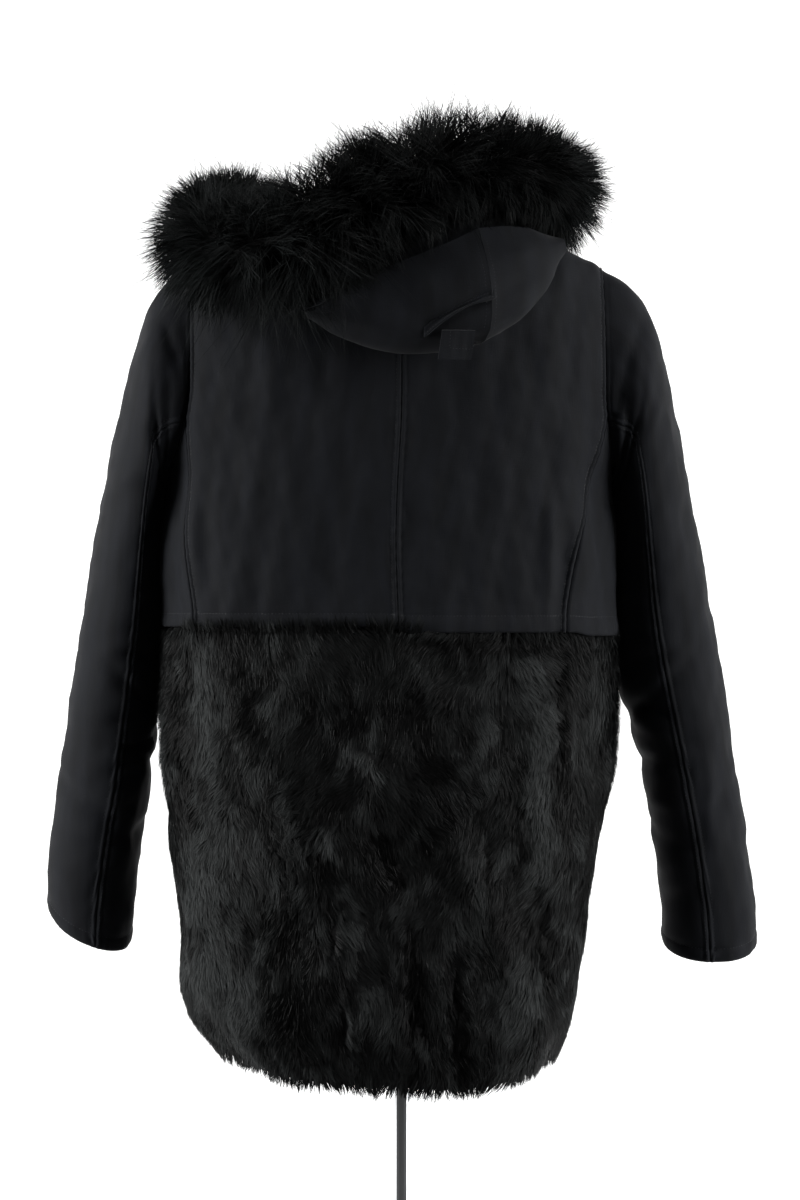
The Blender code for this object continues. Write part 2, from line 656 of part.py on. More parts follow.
def sleeve_panel(name, rings, side, start_seam, end_seam, columns):
    """A top or under sleeve between its two seams, each given at the armhole and the cuff."""
    surface = sleeve_surface(rings, side)
    along = np.linspace(0, 1, SLEEVE_ROWS)[:, None] ** 1.15
    start = start_seam[0] + (start_seam[1] - start_seam[0]) * along
    end = end_seam[0] + (end_seam[1] - end_seam[0]) * along
    turn = start + (end - start) * np.linspace(0, 1, columns)[None, :]
    along = along + 0 * turn
    outer = surface(turn, along)
    inside_along = np.clip(along, 0.004, 0.996)
    normal = normals_of(surface, turn, inside_along, 0.5, 0.003)
    quarters = np.arange(0, 360, 15)[None, :]
    ring = surface(quarters + 0 * along[:, :1], along[:, :1] + 0 * quarters)
    axis = ring.mean(axis=1, keepdims=True)
    outwards = np.sign((normal * (outer - axis)).sum(axis=-1, keepdims=True))
    inner = outer - CANVAS_WALL * normal * outwards
    inner[0, :, 0] = outer[0, :, 0]
    for grid in (outer, inner):
        grid[0, :, 0] += side * SEAM_GAP
        draw_in(grid, ("first_column", "last_column"))
    outer_skins[name] = outer
    return closed_panel(name, outer, inner, CANVAS)


def catmull_rom(points, samples):
    """Points on a smooth curve through a list of points, at samples between 0 and 1."""
    points = np.asarray(points)
    slopes = np.gradient(points, axis=0)
    place = np.asarray(samples) * (len(points) - 1)
    i = np.clip(place.astype(int), 0, len(points) - 2)
    t = (place - i)[:, None]
    if points.ndim == 3:
        t = t[..., None]
    return (
        points[i] * (1 + 2 * t) * (1 - t) ** 2
        + slopes[i] * t * (1 - t) ** 2
        + points[i + 1] * t**2 * (3 - 2 * t)
        - slopes[i + 1] * t**2 * (1 - t)
    )


def skin_tree(names):
    """A search tree of the outer faces of the pieces that others lie on."""
    points, faces = [], []
    for name in names:
        skin = outer_skins[name]
        rows, columns = skin.shape[:2]
        start = len(points)
        points += [Vector(point) for point in skin.reshape(-1, 3)]
        middle = skin[rows // 2, columns // 2]
        beside = skin[rows // 2, columns // 2 - 1] - middle
        below = skin[rows // 2 - 1, columns // 2] - middle
        outwards = np.cross(beside, below).dot(middle - BODY_MIDDLE) > 0
        for i in range(rows - 1):
            for j in range(columns - 1):
                k = start + i * columns + j
                quad = (k, k + 1, k + columns + 1, k + columns)
                faces.append(quad if outwards else quad[::-1])
    return BVHTree.FromPolygons(points, faces)


def tube_tree(rings):
    """A search tree of a closed tube's triangles, two for each quad and turned outwards."""
    rings = np.concatenate([rings, rings[:, :1]], axis=1)
    rows, columns = rings.shape[:2]
    quads = []
    for i in range(rows - 1):
        for k in range(i * columns, (i + 1) * columns - 1):
            quads += [(k, k + 1, k + columns + 1), (k, k + columns + 1, k + columns)]
    beside, ahead = rings[5, 1] - rings[5, 0], rings[6, 0] - rings[5, 0]
    if np.cross(beside, ahead).dot(rings[5, 0] - rings[5].mean(axis=0)) < 0:
        quads = [quad[::-1] for quad in quads]
    return BVHTree.FromPolygons([Vector(point) for point in rings.reshape(-1, 3)], quads)


def settle(points, tree, clearance, deepest=0.08):
    """Moves points that are in or near what they lie on out to a clearance from it."""
    flat = points.reshape(-1, 3).copy()
    for k, point in enumerate(flat):
        found, normal, _, distance = tree.find_nearest(Vector(point))
        outside = (Vector(point) - found).dot(normal) > 0
        near = distance < clearance if outside else distance < deepest
        if near:
            flat[k] = np.array(found + normal * clearance)
    return flat.reshape(points.shape)


def settle_between(grid, tree, clearance):
    """Like settle, for a grid's points and also for the middles of its edges and faces,
    each of which takes the points round it along."""
    moved = grid.copy()
    steps = ((0, 0), (0, 1), (1, 0), (1, 1))
    for down, right in steps:
        rows, columns = grid.shape[0] - down, grid.shape[1] - right
        corners = sorted({(0, 0), (down, 0), (0, right), (down, right)})
        parts = [moved[i : i + rows, j : j + columns] for i, j in corners]
        middles = sum(parts) / len(parts)
        push = settle(middles, tree, clearance) - middles
        longest = np.zeros_like(moved)
        for i, j in corners:
            there = longest[i : i + rows, j : j + columns]
            larger = np.linalg.norm(push, axis=-1) > np.linalg.norm(there, axis=-1)
            there[larger] = push[larger]
        moved += longest
    return moved


def relaxed(grid, share):
    """The grid with each inner point drawn by a share towards the middle of its neighbours."""
    eased = grid.copy()
    across = grid[1:-1, :-2] + grid[1:-1, 2:]
    along = grid[:-2, 1:-1] + grid[2:, 1:-1]
    eased[1:-1, 1:-1] += share * ((across + along) / 4 - grid[1:-1, 1:-1])
    return eased


def place_on(points, tree, clearance):
    """Moves points to a clearance from the surface that they are nearest to."""
    placed = []
    for point in points:
        found, normal, _, _ = tree.find_nearest(Vector(point))
        placed.append(found + normal * clearance)
    return np.array(placed)


RUFF_RINGS = 31
RUFF_SIDES = 12
RUFF_END_SHARE = 0.05
RUFF_SWELLS = (0.05, 0.04)
RUFF_CLEARANCE = 0.0125
RUFF_ON_HOOD = 0.0010
PRESS_ROUNDS = 30
PRESS_SHARE = 0.985


def ruff_frame(samples):
    """The ruff's middle line and radius, with directions across and up from the line."""
    table = np.array([[row.x, row.y, row.z, row.radius] for row in RUFF_SECTIONS])
    read = catmull_rom(table, samples)
    middle, radius = read[:, :3], read[:, 3]
    ahead = np.gradient(middle, axis=0)
    ahead /= np.linalg.norm(ahead, axis=1, keepdims=True)
    across = np.cross(ahead, np.array([0.0, 0.0, 1.0]))
    across /= np.linalg.norm(across, axis=1, keepdims=True)
    up = np.cross(across, ahead)
    return middle, radius, across, up


def ruff_rings(coat):
    """The long fur along the hood's edge: rings of a swollen tube with rounded ends."""
    samples = np.linspace(0, 1, RUFF_RINGS)
    middle, radius, across, up = ruff_frame(samples)
    from_end = np.minimum(samples, 1 - samples) / RUFF_END_SHARE
    radius = radius * np.sqrt(np.clip(1 - (1 - from_end).clip(0) ** 2, 0.05, 1))
    turn = np.linspace(0, 2 * np.pi, RUFF_SIDES, endpoint=False)
    swell = 1 + RUFF_SWELLS[0] * np.sin(5 * turn[None, :] + 40 * samples[:, None])
    swell = swell + RUFF_SWELLS[1] * np.sin(3 * turn[None, :] - 61 * samples[:, None])
    ring = across[:, None] * np.cos(turn)[None, :, None] + up[:, None] * np.sin(turn)[None, :, None]
    rings = middle[:, None] + ring * (radius[:, None] * swell)[..., None]
    for _ in range(3):
        rings = settle_between(rings, coat, RUFF_CLEARANCE)
    return rings


def press_in(rings, tree, clearance):
    """Draws the points of a tube in towards its middle where cloth presses into it, also
    where it does so only between them."""
    last, sides = rings.shape[0] - 1, rings.shape[1]
    middles = rings.mean(axis=1)
    share = np.ones(rings.shape[:2])
    for row in np.arange(0, last + 0.25, 0.5):
        low, high = int(row), min(int(row + 0.5), last)
        for turn in np.arange(0, sides, 0.5):
            left, right = int(turn), int(turn + 0.5) % sides
            near = [(i, j) for i in (low, high) for j in (left, right)]
            middle = (middles[low] + middles[high]) / 2
            outwards = sum(rings[i, j] for i, j in near) / len(near) - middle
            reach = np.linalg.norm(outwards)
            found, _, _, distance = tree.ray_cast(Vector(middle), Vector(outwards / reach))
            if found is not None and distance < reach + clearance:
                pressed = max(distance - clearance, 0.3 * reach) / reach
                for i, j in near:
                    share[i, j] = min(share[i, j], pressed)
    return middles[:, None] + (rings - middles[:, None]) * share[..., None]


def freed(rings, tree):
    """The tube drawn in a little wherever its faces still cross the hood's cloth."""
    sides = rings.shape[1]
    middles = rings.mean(axis=1)[:, None]
    for _ in range(PRESS_ROUNDS):
        crossed = {face // 2 for face, _ in tube_tree(rings).overlap(tree)}
        if not crossed:
            break
        share = np.ones(rings.shape[:2])
        for face in crossed:
            i, j = divmod(face, sides)
            share[np.ix_((i, i + 1), (j, (j + 1) % sides))] = PRESS_SHARE
        rings = middles + (rings - middles) * share[..., None]
    return rings


def add_ruff(rings):
    """The tube of the ruff's rings with both ends closed."""
    count, sides = rings.shape[:2]
    ends = [rings[0].mean(axis=0), rings[-1].mean(axis=0)]
    points = np.concatenate([rings.reshape(-1, 3), ends])
    faces = []
    for i in range(count - 1):
        for j in range(sides):
            k = (j + 1) % sides
            a, b = i * sides + j, i * sides + k
            faces += [(a, b, b + sides), (a, b + sides, a + sides)]
    first, last = len(points) - 2, len(points) - 1
    base = (count - 1) * sides
    for j in range(sides):
        k = (j + 1) % sides
        faces.append((first, k, j))
        faces.append((last, base + j, base + k))
    add_object("hood_ruff", points, faces, LONG_FUR)


HOOD_FRONT_COLUMNS = 7
HOOD_ROWS = 17
HOOD_CLEARANCE = 0.0050
HOOD_FUR_CLEARANCE = 0.0025
CREST_OUT = 0.009
CREST_UP = 0.016
COLLAR_RISE = 0.045
FOLD_ROUNDING = 0.018
POUCH_BULGE = 0.012


def hood_angles():
    """The neck ring's places where the coat's panels have their columns."""
    back = np.linspace(-90, 90, 2 * BACK_COLUMNS - 1)
    step = (FRONT_OPENING_ANGLE - 90) / (FRONT_COLUMNS - 1)
    front = 90 + step * np.arange(1, HOOD_FRONT_COLUMNS + 1)
    return np.concatenate([-front[::-1], back, front])


def neck_seam(angle):
    """Both edges of the hood's cloth where it is sewn to the coat's neck."""
    height = NECK_RING + 0 * angle
    outer = canvas_surface(angle, height)
    upwards = unit(outer - canvas_surface(angle, height - 0.001)) * SEAM_GAP
    inner = outer - CANVAS_WALL * outward_normals(canvas_surface, angle, height)
    return outer + upwards, inner + upwards


def hood_grid(angle):
    """The middle of the hood's cloth, in rows from the neck seam to the ruff."""
    read = {
        name: read_table(HOOD_SECTIONS, "neck_angle", name, angle)[:, None]
        for name in HoodSection._fields[1:]
    }
    fold = np.concatenate([read["fold_x"], read["fold_y"], read["fold_z"]], axis=1)
    slack = smooth_step(0.30, 0.80, read["fullness"])
    neck = sum(neck_seam(angle)) / 2
    level = np.array([1.0, 1.0, 0.0])
    outwards = unit((fold - neck) * level)
    up = np.array([0.0, 0.0, 1.0])
    crest = neck + outwards * CREST_OUT + up * CREST_UP
    middle, radius, _, _ = ruff_frame(np.linspace(0, 1, 400))
    apart = np.linalg.norm(middle[None, :, :2] - fold[:, None, :2], axis=-1)
    nearest = np.argmin(apart, axis=1)
    low_inside = fold + up * FOLD_ROUNDING - outwards * POUCH_HALF_WIDTH
    low_outside = fold + up * FOLD_ROUNDING + outwards * POUCH_HALF_WIDTH
    towards = (neck + up * COLLAR_RISE) * (1 - slack) + low_outside * slack
    edge = middle[nearest] + unit(towards - middle[nearest]) * radius[nearest][:, None]
    inside = 0.5 * (crest + low_inside)
    bulge = 0.5 * (low_outside + edge) + outwards * POUCH_BULGE
    pouch = (inside, low_inside, fold, low_outside, bulge)
    drawn = [
        straight + (knot - straight) * slack
        for knot, straight in (
            (knot, crest + (edge - crest) * (k + 1) / (len(pouch) + 1))
            for k, knot in enumerate(pouch)
        )
    ]
    knots = np.stack([neck, crest, *drawn, edge])
    return catmull_rom(knots, np.linspace(0, 1, HOOD_ROWS))


def hood_halves(coat, fur):
    """Both halves of the hood, draped over the coat and under the ruff, and split at
    the centre seam."""
    angle = hood_angles()
    grid = hood_grid(angle)
    at_the_sides = (smooth_step(24, 42, -angle) + smooth_step(56, 72, angle))[None, 1:-1, None]
    for _ in range(8):
        grid = relaxed(grid, at_the_sides)
        grid = settle_between(grid, coat, HOOD_CLEARANCE)
        grid = settle_between(grid, fur, HOOD_FUR_CLEARANCE)
    grid[-1] = place_on(grid[-1], fur, HOOD_EDGE_CLEARANCE)
    for _ in range(3):
        grid = settle_between(grid, fur, HOOD_EDGE_CLEARANCE)
    normal = unit(np.cross(np.gradient(grid, axis=0), np.gradient(grid, axis=1)))
    neck_outer, neck_inner = neck_seam(angle)
    if ((neck_outer - neck_inner) * normal[1]).sum() < 0:
        normal = -normal
    for _ in range(4):
        for side in (-1, 1):
            wall = grid + side * normal * CANVAS_WALL / 2
            for skin in (coat, fur):
                grid = grid + settle_between(wall, skin, HOOD_WALL_CLEARANCE) - wall
    outer = grid + normal * CANVAS_WALL / 2
    inner = grid - normal * CANVAS_WALL / 2
    outer[0], inner[0] = neck_outer, neck_inner
    seam = int(np.argmin(np.abs(angle - HOOD_SEAM_ANGLE)))
    for name, part in (("hood_left", slice(None, seam + 1)), ("hood_right", slice(seam, None))):
        walls = [outer[:, part].copy(), inner[:, part].copy()]
        for wall in walls:
            draw_in(wall, ("first_column", "last_column"))
        closed_panel(name, *walls, CANVAS)
    for skin, wall in (("hood", outer), ("hood_inside", inner)):
        beyond = wall[-1] + unit(wall[-1] - wall[-2]) * HOOD_EDGE_MARGIN
        outer_skins[skin] = np.concatenate([wall, beyond[None]])


def hood_strap():
    """The strap that tightens the hood: a strip moved out from the hood's lower back,
    whose end hangs free below the fold."""
    hood = skin_tree(["hood"])
    rows, columns = 6, 4
    found = np.empty((rows, columns, 3))
    normal = np.empty((rows, columns, 3))
    for i in range(rows):
        share = i / (rows - 1)
        height = STRAP_HIGH + share * (STRAP_LOW - STRAP_HIGH)
        for j in range(columns):
            x = STRAP_LEFT_X + (STRAP_RIGHT_X - STRAP_LEFT_X) * j / (columns - 1)
            x -= STRAP_SLANT * share
            place, facing, _, _ = hood.ray_cast(Vector((x, -0.5, height)), Vector((0, 1, 0)))
            hangs = i > 0 and (place is None or place.y > found[i - 1, j, 1])
            if hangs:
                found[i, j] = (x, found[i - 1, j, 1], height)
                normal[i, j] = normal[i - 1, j]
            else:
                found[i, j] = place
                normal[i, j] = facing if facing.y < 0 else -facing
    inner = found + normal * STRAP_CLEARANCE
    outer = inner + normal * STRAP_WALL
    closed_panel("hood_strap", outer, inner, CANVAS)


def form_torso():
    """The padded torso: it fills the coat's shoulders and stands clear of the cloth below."""
    sides = FORM_SIDES
    heights = np.linspace(FORM_BOTTOM, NECK_RING, FORM_TORSO_RINGS)[:, None]
    angle = np.linspace(-180, 180, sides, endpoint=False)[None, :]
    heights, angle = heights + 0 * angle, angle + 0 * heights
    turn = np.radians(angle)
    back = read_table(FORM_RINGS, "height", "back", heights)
    front = read_table(FORM_RINGS, "height", "front", heights)
    width = read_table(FORM_RINGS, "height", "half_width", heights)
    depth = np.where(np.cos(turn) > 0, back, front)
    own = np.stack(
        [width * np.sin(turn), BODY_CENTRE_Y - depth * np.cos(turn), heights], axis=-1
    )
    coat = canvas_surface(angle, heights)
    normal = outward_normals(canvas_surface, angle, heights)
    clearance = FORM_CLEARANCE + FORM_NECK_CLEARANCE * smooth_step(1.470, 1.500, heights)
    seated = coat - normal * (CANVAS_WALL + clearance)[..., None]
    points = own + (seated - own) * smooth_step(1.36, 1.45, heights)[..., None]
    top = points[-1]
    centre = top.mean(axis=0)
    neck = []
    for k in range(1, FORM_NECK_RINGS + 1):
        share = k / FORM_NECK_RINGS
        ring = centre + (top - centre) * (1 - FORM_NECK_TAPER * smooth_step(0, 1, share))
        ring[:, 2] = top[:, 2] + (FORM_NECK_TOP - top[:, 2]) * share
        neck.append(ring)
    points = np.concatenate([points, np.array(neck)])
    count = len(points)
    flat = points.reshape(-1, 3)
    faces = []
    for i in range(count - 1):
        for j in range(sides):
            k = (j + 1) % sides
            a, b = i * sides + j, i * sides + k
            faces.append((a, b, b + sides, a + sides))
    faces.append(tuple(reversed(range(sides))))
    faces.append(tuple(range((count - 1) * sides, count * sides)))
    return add_object("form_torso", flat, faces, FORM_JERSEY)


def turned(name, profile, finish, sides=32, centre=(0.0, 0.0)):
    """A solid turned about a vertical axis, from radius and height pairs, bottom to top."""
    turn = np.linspace(0, 2 * np.pi, sides, endpoint=False)
    points = np.array(
        [
            (centre[0] + radius * np.cos(t), centre[1] + radius * np.sin(t), height)
            for radius, height in profile
            for t in turn
        ]
    )
    faces = []
    for i in range(len(profile) - 1):
        for j in range(sides):
            k = (j + 1) % sides
            a, b = i * sides + j, i * sides + k
            faces.append((a, b, b + sides, a + sides))
    faces.append(tuple(reversed(range(sides))))
    faces.append(tuple(range((len(profile) - 1) * sides, len(profile) * sides)))
    return add_object(name, points, faces, finish)


def form_stand():
    edge = 0.003
    turned(
        "form_base",
        (
            (BASE_RADIUS - edge, 0.0),
            (BASE_RADIUS, edge),
            (BASE_RADIUS, BASE_THICKNESS - edge),
            (BASE_RADIUS - edge, BASE_THICKNESS),
            (0.030, BASE_THICKNESS + 0.002),
            (0.024, BASE_THICKNESS + 0.012),
            (0.018, BASE_THICKNESS + 0.020),
        ),
        CHROME,
        sides=40,
    )
    foot = BASE_THICKNESS + 0.020 + SEAM_GAP
    turned(
        "form_pole",
        ((POLE_RADIUS, foot), (POLE_RADIUS, FORM_BOTTOM - SEAM_GAP)),
        CHROME,
        sides=24,
    )
    turned(
        "form_neck_cap",
        (
            (0.040, FORM_NECK_TOP + SEAM_GAP),
            (0.044, FORM_NECK_TOP + 0.003),
            (0.040, FORM_NECK_TOP + 0.007),
            (0.020, FORM_NECK_TOP + 0.010),
        ),
        CHROME,
        sides=32,
        centre=(0.0, BODY_CENTRE_Y),
    )


def build():
    clear_scene()
    for word, side in (("left", -1), ("right", 1)):
        back_panel("back_" + word, side)
        side_back_panel("side_back_" + word, side)
        front_panel("front_" + word, side)
    front_placket()
    for panel in FUR_PANELS:
        fur_panel(panel)
    for word, side, rings in (("left", -1, LEFT_SLEEVE), ("right", 1, RIGHT_SLEEVE)):
        end = (BACK_SLEEVE_SEAM[0] + 360, BACK_SLEEVE_SEAM[1] + 360)
        sleeve_panel(f"sleeve_{word}_top", rings, side, FRONT_SLEEVE_SEAM, end, TOP_SLEEVE_COLUMNS)
        sleeve_panel(
            f"sleeve_{word}_under", rings, side, BACK_SLEEVE_SEAM, FRONT_SLEEVE_SEAM, UNDER_SLEEVE_COLUMNS
        )
    coat = skin_tree(list(outer_skins))
    rings = ruff_rings(coat)
    hood_halves(coat, tube_tree(rings))
    hood = skin_tree(["hood", "hood_inside"])
    add_ruff(freed(press_in(rings, hood, RUFF_ON_HOOD), hood))
    hood_strap()
    form_torso()
    form_stand()


build()
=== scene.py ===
"""Black hooded parka with a fur skirt and a fur-edged hood, on a limbless dress form.

Metres, +Z up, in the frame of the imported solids: the origin is on the floor under the pole,
the coat's back faces -Y and +X is the wearer's right. Angles round the body are in degrees
from the centre of the back, and the left is negative.
"""

import math

import bpy
import numpy as np
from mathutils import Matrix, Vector
from mathutils.kdtree import KDTree


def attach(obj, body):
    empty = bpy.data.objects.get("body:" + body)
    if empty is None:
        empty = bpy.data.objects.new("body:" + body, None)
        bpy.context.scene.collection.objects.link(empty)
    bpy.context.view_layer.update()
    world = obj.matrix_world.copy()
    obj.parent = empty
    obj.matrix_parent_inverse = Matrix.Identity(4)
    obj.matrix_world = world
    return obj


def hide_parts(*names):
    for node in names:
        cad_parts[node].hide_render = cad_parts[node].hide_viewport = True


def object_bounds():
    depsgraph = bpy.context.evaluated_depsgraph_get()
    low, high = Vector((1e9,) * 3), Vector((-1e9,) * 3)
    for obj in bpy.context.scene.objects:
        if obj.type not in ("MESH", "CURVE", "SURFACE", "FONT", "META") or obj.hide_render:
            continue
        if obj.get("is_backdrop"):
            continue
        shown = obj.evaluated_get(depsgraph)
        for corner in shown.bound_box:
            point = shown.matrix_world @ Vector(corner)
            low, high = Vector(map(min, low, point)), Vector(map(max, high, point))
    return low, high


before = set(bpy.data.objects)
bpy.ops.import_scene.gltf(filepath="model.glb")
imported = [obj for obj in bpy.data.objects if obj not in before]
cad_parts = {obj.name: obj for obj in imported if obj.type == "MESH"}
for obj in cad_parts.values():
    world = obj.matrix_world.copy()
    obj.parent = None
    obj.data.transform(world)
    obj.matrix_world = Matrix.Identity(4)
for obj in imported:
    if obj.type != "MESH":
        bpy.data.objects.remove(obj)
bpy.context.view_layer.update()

# ---------------------------------------------------------------- the stand
# A round plate, a drawn tube and a turned neck cap, all steel with polished chrome plate.
# Buffing leaves a mirror with very faint marks, so they show the room and hardly blur it.


def srgb(code):
    """The linear colour of an sRGB hex value."""
    parts = [int(code[k : k + 2], 16) / 255 for k in (0, 2, 4)]
    return (*[p / 12.92 if p <= 0.04045 else ((p + 0.055) / 1.055) ** 2.4 for p in parts], 1.0)


def new_material(name):
    """An empty material that nodes are added to."""
    made = bpy.data.materials.new(name)
    made.use_nodes = True
    made.node_tree.nodes.clear()
    return made


def add(material, kind, inputs=(), **settings):
    """Adds a shader node with its settings. An input is a value, or a node and its output."""
    made = material.node_tree.nodes.new("ShaderNode" + kind)
    for name, value in settings.items():
        setattr(made, name, value)
    for key, value in dict(inputs).items():
        if isinstance(value, tuple) and isinstance(value[0], bpy.types.Node):
            material.node_tree.links.new(value[0].outputs[value[1]], made.inputs[key])
        else:
            made.inputs[key].default_value = value
    return made


chrome = new_material("polished_chrome_plate")
place = add(chrome, "TexCoord")
buffing = add(chrome, "TexNoise", {"Vector": (place, "Object"), "Scale": 90.0, "Detail": 3.0})
blur = add(chrome, "MapRange", {"Value": (buffing, "Fac"), "To Min": 0.04, "To Max": 0.10})
plate = add(
    chrome,
    "BsdfPrincipled",
    {"Base Color": srgb("d6d8da"), "Metallic": 1.0, "Roughness": (blur, "Result")},
)
add(chrome, "OutputMaterial", {"Surface": (plate, "BSDF")})


def cover(node, finish):
    """Gives a solid of the form or its stand its finish."""
    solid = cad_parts[node].data
    solid.materials.clear()
    solid.materials.append(finish)


for node in ("form_pole", "form_base", "form_neck_cap"):
    cover(node, chrome)

# ---------------------------------------------------------------- the dress form
# A moulded torso without limbs, padded and covered with off-white cotton jersey drawn tight.
# The knit is matt, with fine ribs that show only close by, drawn here 1.5 mm apart.
jersey = new_material("cotton_jersey")
place = add(jersey, "TexCoord")
ribs = add(
    jersey,
    "TexWave",
    {"Vector": (place, "Object"), "Scale": 105.0, "Distortion": 1.2, "Detail": 2.0},
    bands_direction="X",
)
pilling = add(jersey, "TexNoise", {"Vector": (place, "Object"), "Scale": 45.0, "Detail": 6.0})
tone = add(
    jersey,
    "Mix",
    {0: (pilling, "Fac"), 6: srgb("d9d4c8"), 7: srgb("e9e5dc")},
    data_type="RGBA",
)
relief = add(jersey, "Bump", {"Height": (ribs, "Fac"), "Strength": 0.25, "Distance": 0.0006})
knit = add(
    jersey,
    "BsdfPrincipled",
    {
        "Base Color": (tone, 2),
        "Roughness": 0.88,
        "Sheen Weight": 0.25,
        "Normal": (relief, "Normal"),
    },
)
add(jersey, "OutputMaterial", {"Surface": (knit, "BSDF")})
cover("form_torso", jersey)

# ---------------------------------------------------------------- the canvas of the body
# The upper half is washed cotton canvas, almost black with a little blue, in six panels and
# a fly: two backs, two side backs and two fronts, joined by turned and topstitched seams.
CANVAS_RINGS = np.array(
    [  # height, left, right, back, front
        (1.0840, -0.249, 0.229, 0.118, 0.150),
        (1.1810, -0.253, 0.227, 0.121, 0.157),
        (1.2350, -0.246, 0.2235, 0.124, 0.163),
        (1.2900, -0.250, 0.234, 0.125, 0.160),
        (1.3500, -0.252, 0.238, 0.122, 0.150),
        (1.4000, -0.245, 0.232, 0.115, 0.135),
        (1.4300, -0.236, 0.224, 0.107, 0.120),
        (1.4570, -0.222, 0.210, 0.097, 0.103),
        (1.4745, -0.180, 0.170, 0.085, 0.087),
        (1.4910, -0.132, 0.124, 0.073, 0.074),
        (1.5045, -0.098, 0.093, 0.066, 0.067),
        (1.5150, -0.080, 0.077, 0.062, 0.064),
    ]
)
PRINCESS_SEAMS = np.array(
    [  # height, left, right
        (1.0840, -57.0, 44.5),
        (1.1140, -57.5, 46.0),
        (1.1790, -59.5, 51.0),
        (1.2060, -60.5, 55.5),
        (1.2490, -61.5, 59.5),
        (1.3000, -61.5, 61.5),
    ]
)
BODY_FOLDS = (  # angle, lean, low, high, width, depth
    (63.0, -6.0, 1.090, 1.260, 6.0, 0.0060),
    (50.0, -4.0, 1.100, 1.240, 5.0, -0.0030),
    (-68.0, 5.0, 1.090, 1.270, 6.0, 0.0050),
    (-56.0, 3.0, 1.110, 1.330, 7.0, -0.0025),
    (120.0, 4.0, 1.100, 1.330, 8.0, 0.0050),
    (-118.0, -5.0, 1.120, 1.310, 7.0, 0.0055),
    (148.0, 6.0, 1.130, 1.390, 6.0, 0.0035),
    (-142.0, -8.0, 1.095, 1.350, 6.0, 0.0040),
)
WAIST, NECK, SHOULDER = 1.0840, 1.515, 1.4570
UNDERARM, ARMHOLE_WIDEST, PRINCESS_TOP = 1.240, 1.335, 1.300
ARMHOLE_X = {-1: -0.222, 1: 0.210}
BODY_Y = 0.010
BODY_MIDDLE = np.array([0.0, BODY_Y, 1.20])
SQUARENESS = 2.25
CANVAS_WALL, DOUBLED_WALL = 0.0016, 0.0022
VIEW_DISTANCE, VIEW_HEIGHT, VIEW_TURN = 3.6, 1.11, math.radians(4)
PIXEL = 1.05e-3  # metres at the pole for each pixel of the photo
POLE_X, LEVEL_Y = 401, 600  # pixels: where the pole stands, and what is level with the camera
BACK_DEPTH, FRONT_DEPTH = -0.11, 0.15  # how far behind or before the pole the creases lie


def curve(start, end, start_slope, end_slope, t):
    """A smooth curve from a start to an end with given slopes, read at t from 0 to 1."""
    return (
        start * (1 + 2 * t) * (1 - t) ** 2
        + start_slope * t * (1 - t) ** 2
        + end * t**2 * (3 - 2 * t)
        - end_slope * t**2 * (1 - t)
    )


def read_table(table, column, at):
    """A smooth curve through one column of a table, read at values of its first column."""
    places, values = table[:, 0], table[:, column]
    slopes = np.gradient(values, places)
    at = np.clip(at, places[0], places[-1])
    i = np.clip(np.searchsorted(places, at, side="right") - 1, 0, len(places) - 2)
    span = places[i + 1] - places[i]
    t = (at - places[i]) / span
    return curve(values[i], values[i + 1], slopes[i] * span, slopes[i + 1] * span, t)


def smooth_step(low, high, value):
    """0 below the low value, 1 above the high one, and smooth between them."""
    t = np.clip((value - low) / (high - low), 0, 1)
    return t * t * (3 - 2 * t)


def unit(vectors):
    """The same directions, each 1 long."""
    return vectors / np.maximum(np.linalg.norm(vectors, axis=-1, keepdims=True), 1e-12)


def rounded(turn, power):
    """Shares of a squarish ring's half width and half depth at a turn in radians."""
    sine, cosine = np.sin(turn), np.cos(turn)
    size = (np.abs(sine) ** power + np.abs(cosine) ** power) ** (1 / power)
    return sine / size, cosine / size


def ring_point(rings, angle, height):
    """A point of the body at an angle and a height, from a table of squarish rings."""
    across, along = rounded(np.radians(angle), SQUARENESS)
    left, right, back, front = (read_table(rings, k, height) for k in (1, 2, 3, 4))
    x = (left + right) / 2 + (right - left) / 2 * across
    y = BODY_Y - np.where(along > 0, back, front) * along
    return np.stack([x, y, height + 0 * x], axis=-1)


def pushed(points, amount):
    """Points of the body moved level and outwards."""
    outwards = points - np.array([0.0, BODY_Y, 0.0])
    outwards[..., 2] = 0
    return points + unit(outwards) * amount[..., None]


def canvas_surface(angle, height):
    """The outside of the coat's upper half, from the waist seam to the neck ring."""
    points = ring_point(CANVAS_RINGS, angle, height)
    folds = 0 * angle
    for middle, lean, low, high, width, depth in BODY_FOLDS:
        share = (height - low) / (high - low)
        line = middle + lean * (share - 0.5)
        rise = np.sin(np.pi * np.clip(share, 0, 1))
        folds = folds - depth * rise * np.exp(-(((angle - line) / width) ** 2))
    points = pushed(points, folds)
    cosine = np.cos(np.radians(angle))
    lift = 0.0315 * cosine - 0.0135 * cosine**2
    points[..., 2] += smooth_step(1.40, NECK, height) * lift
    return points


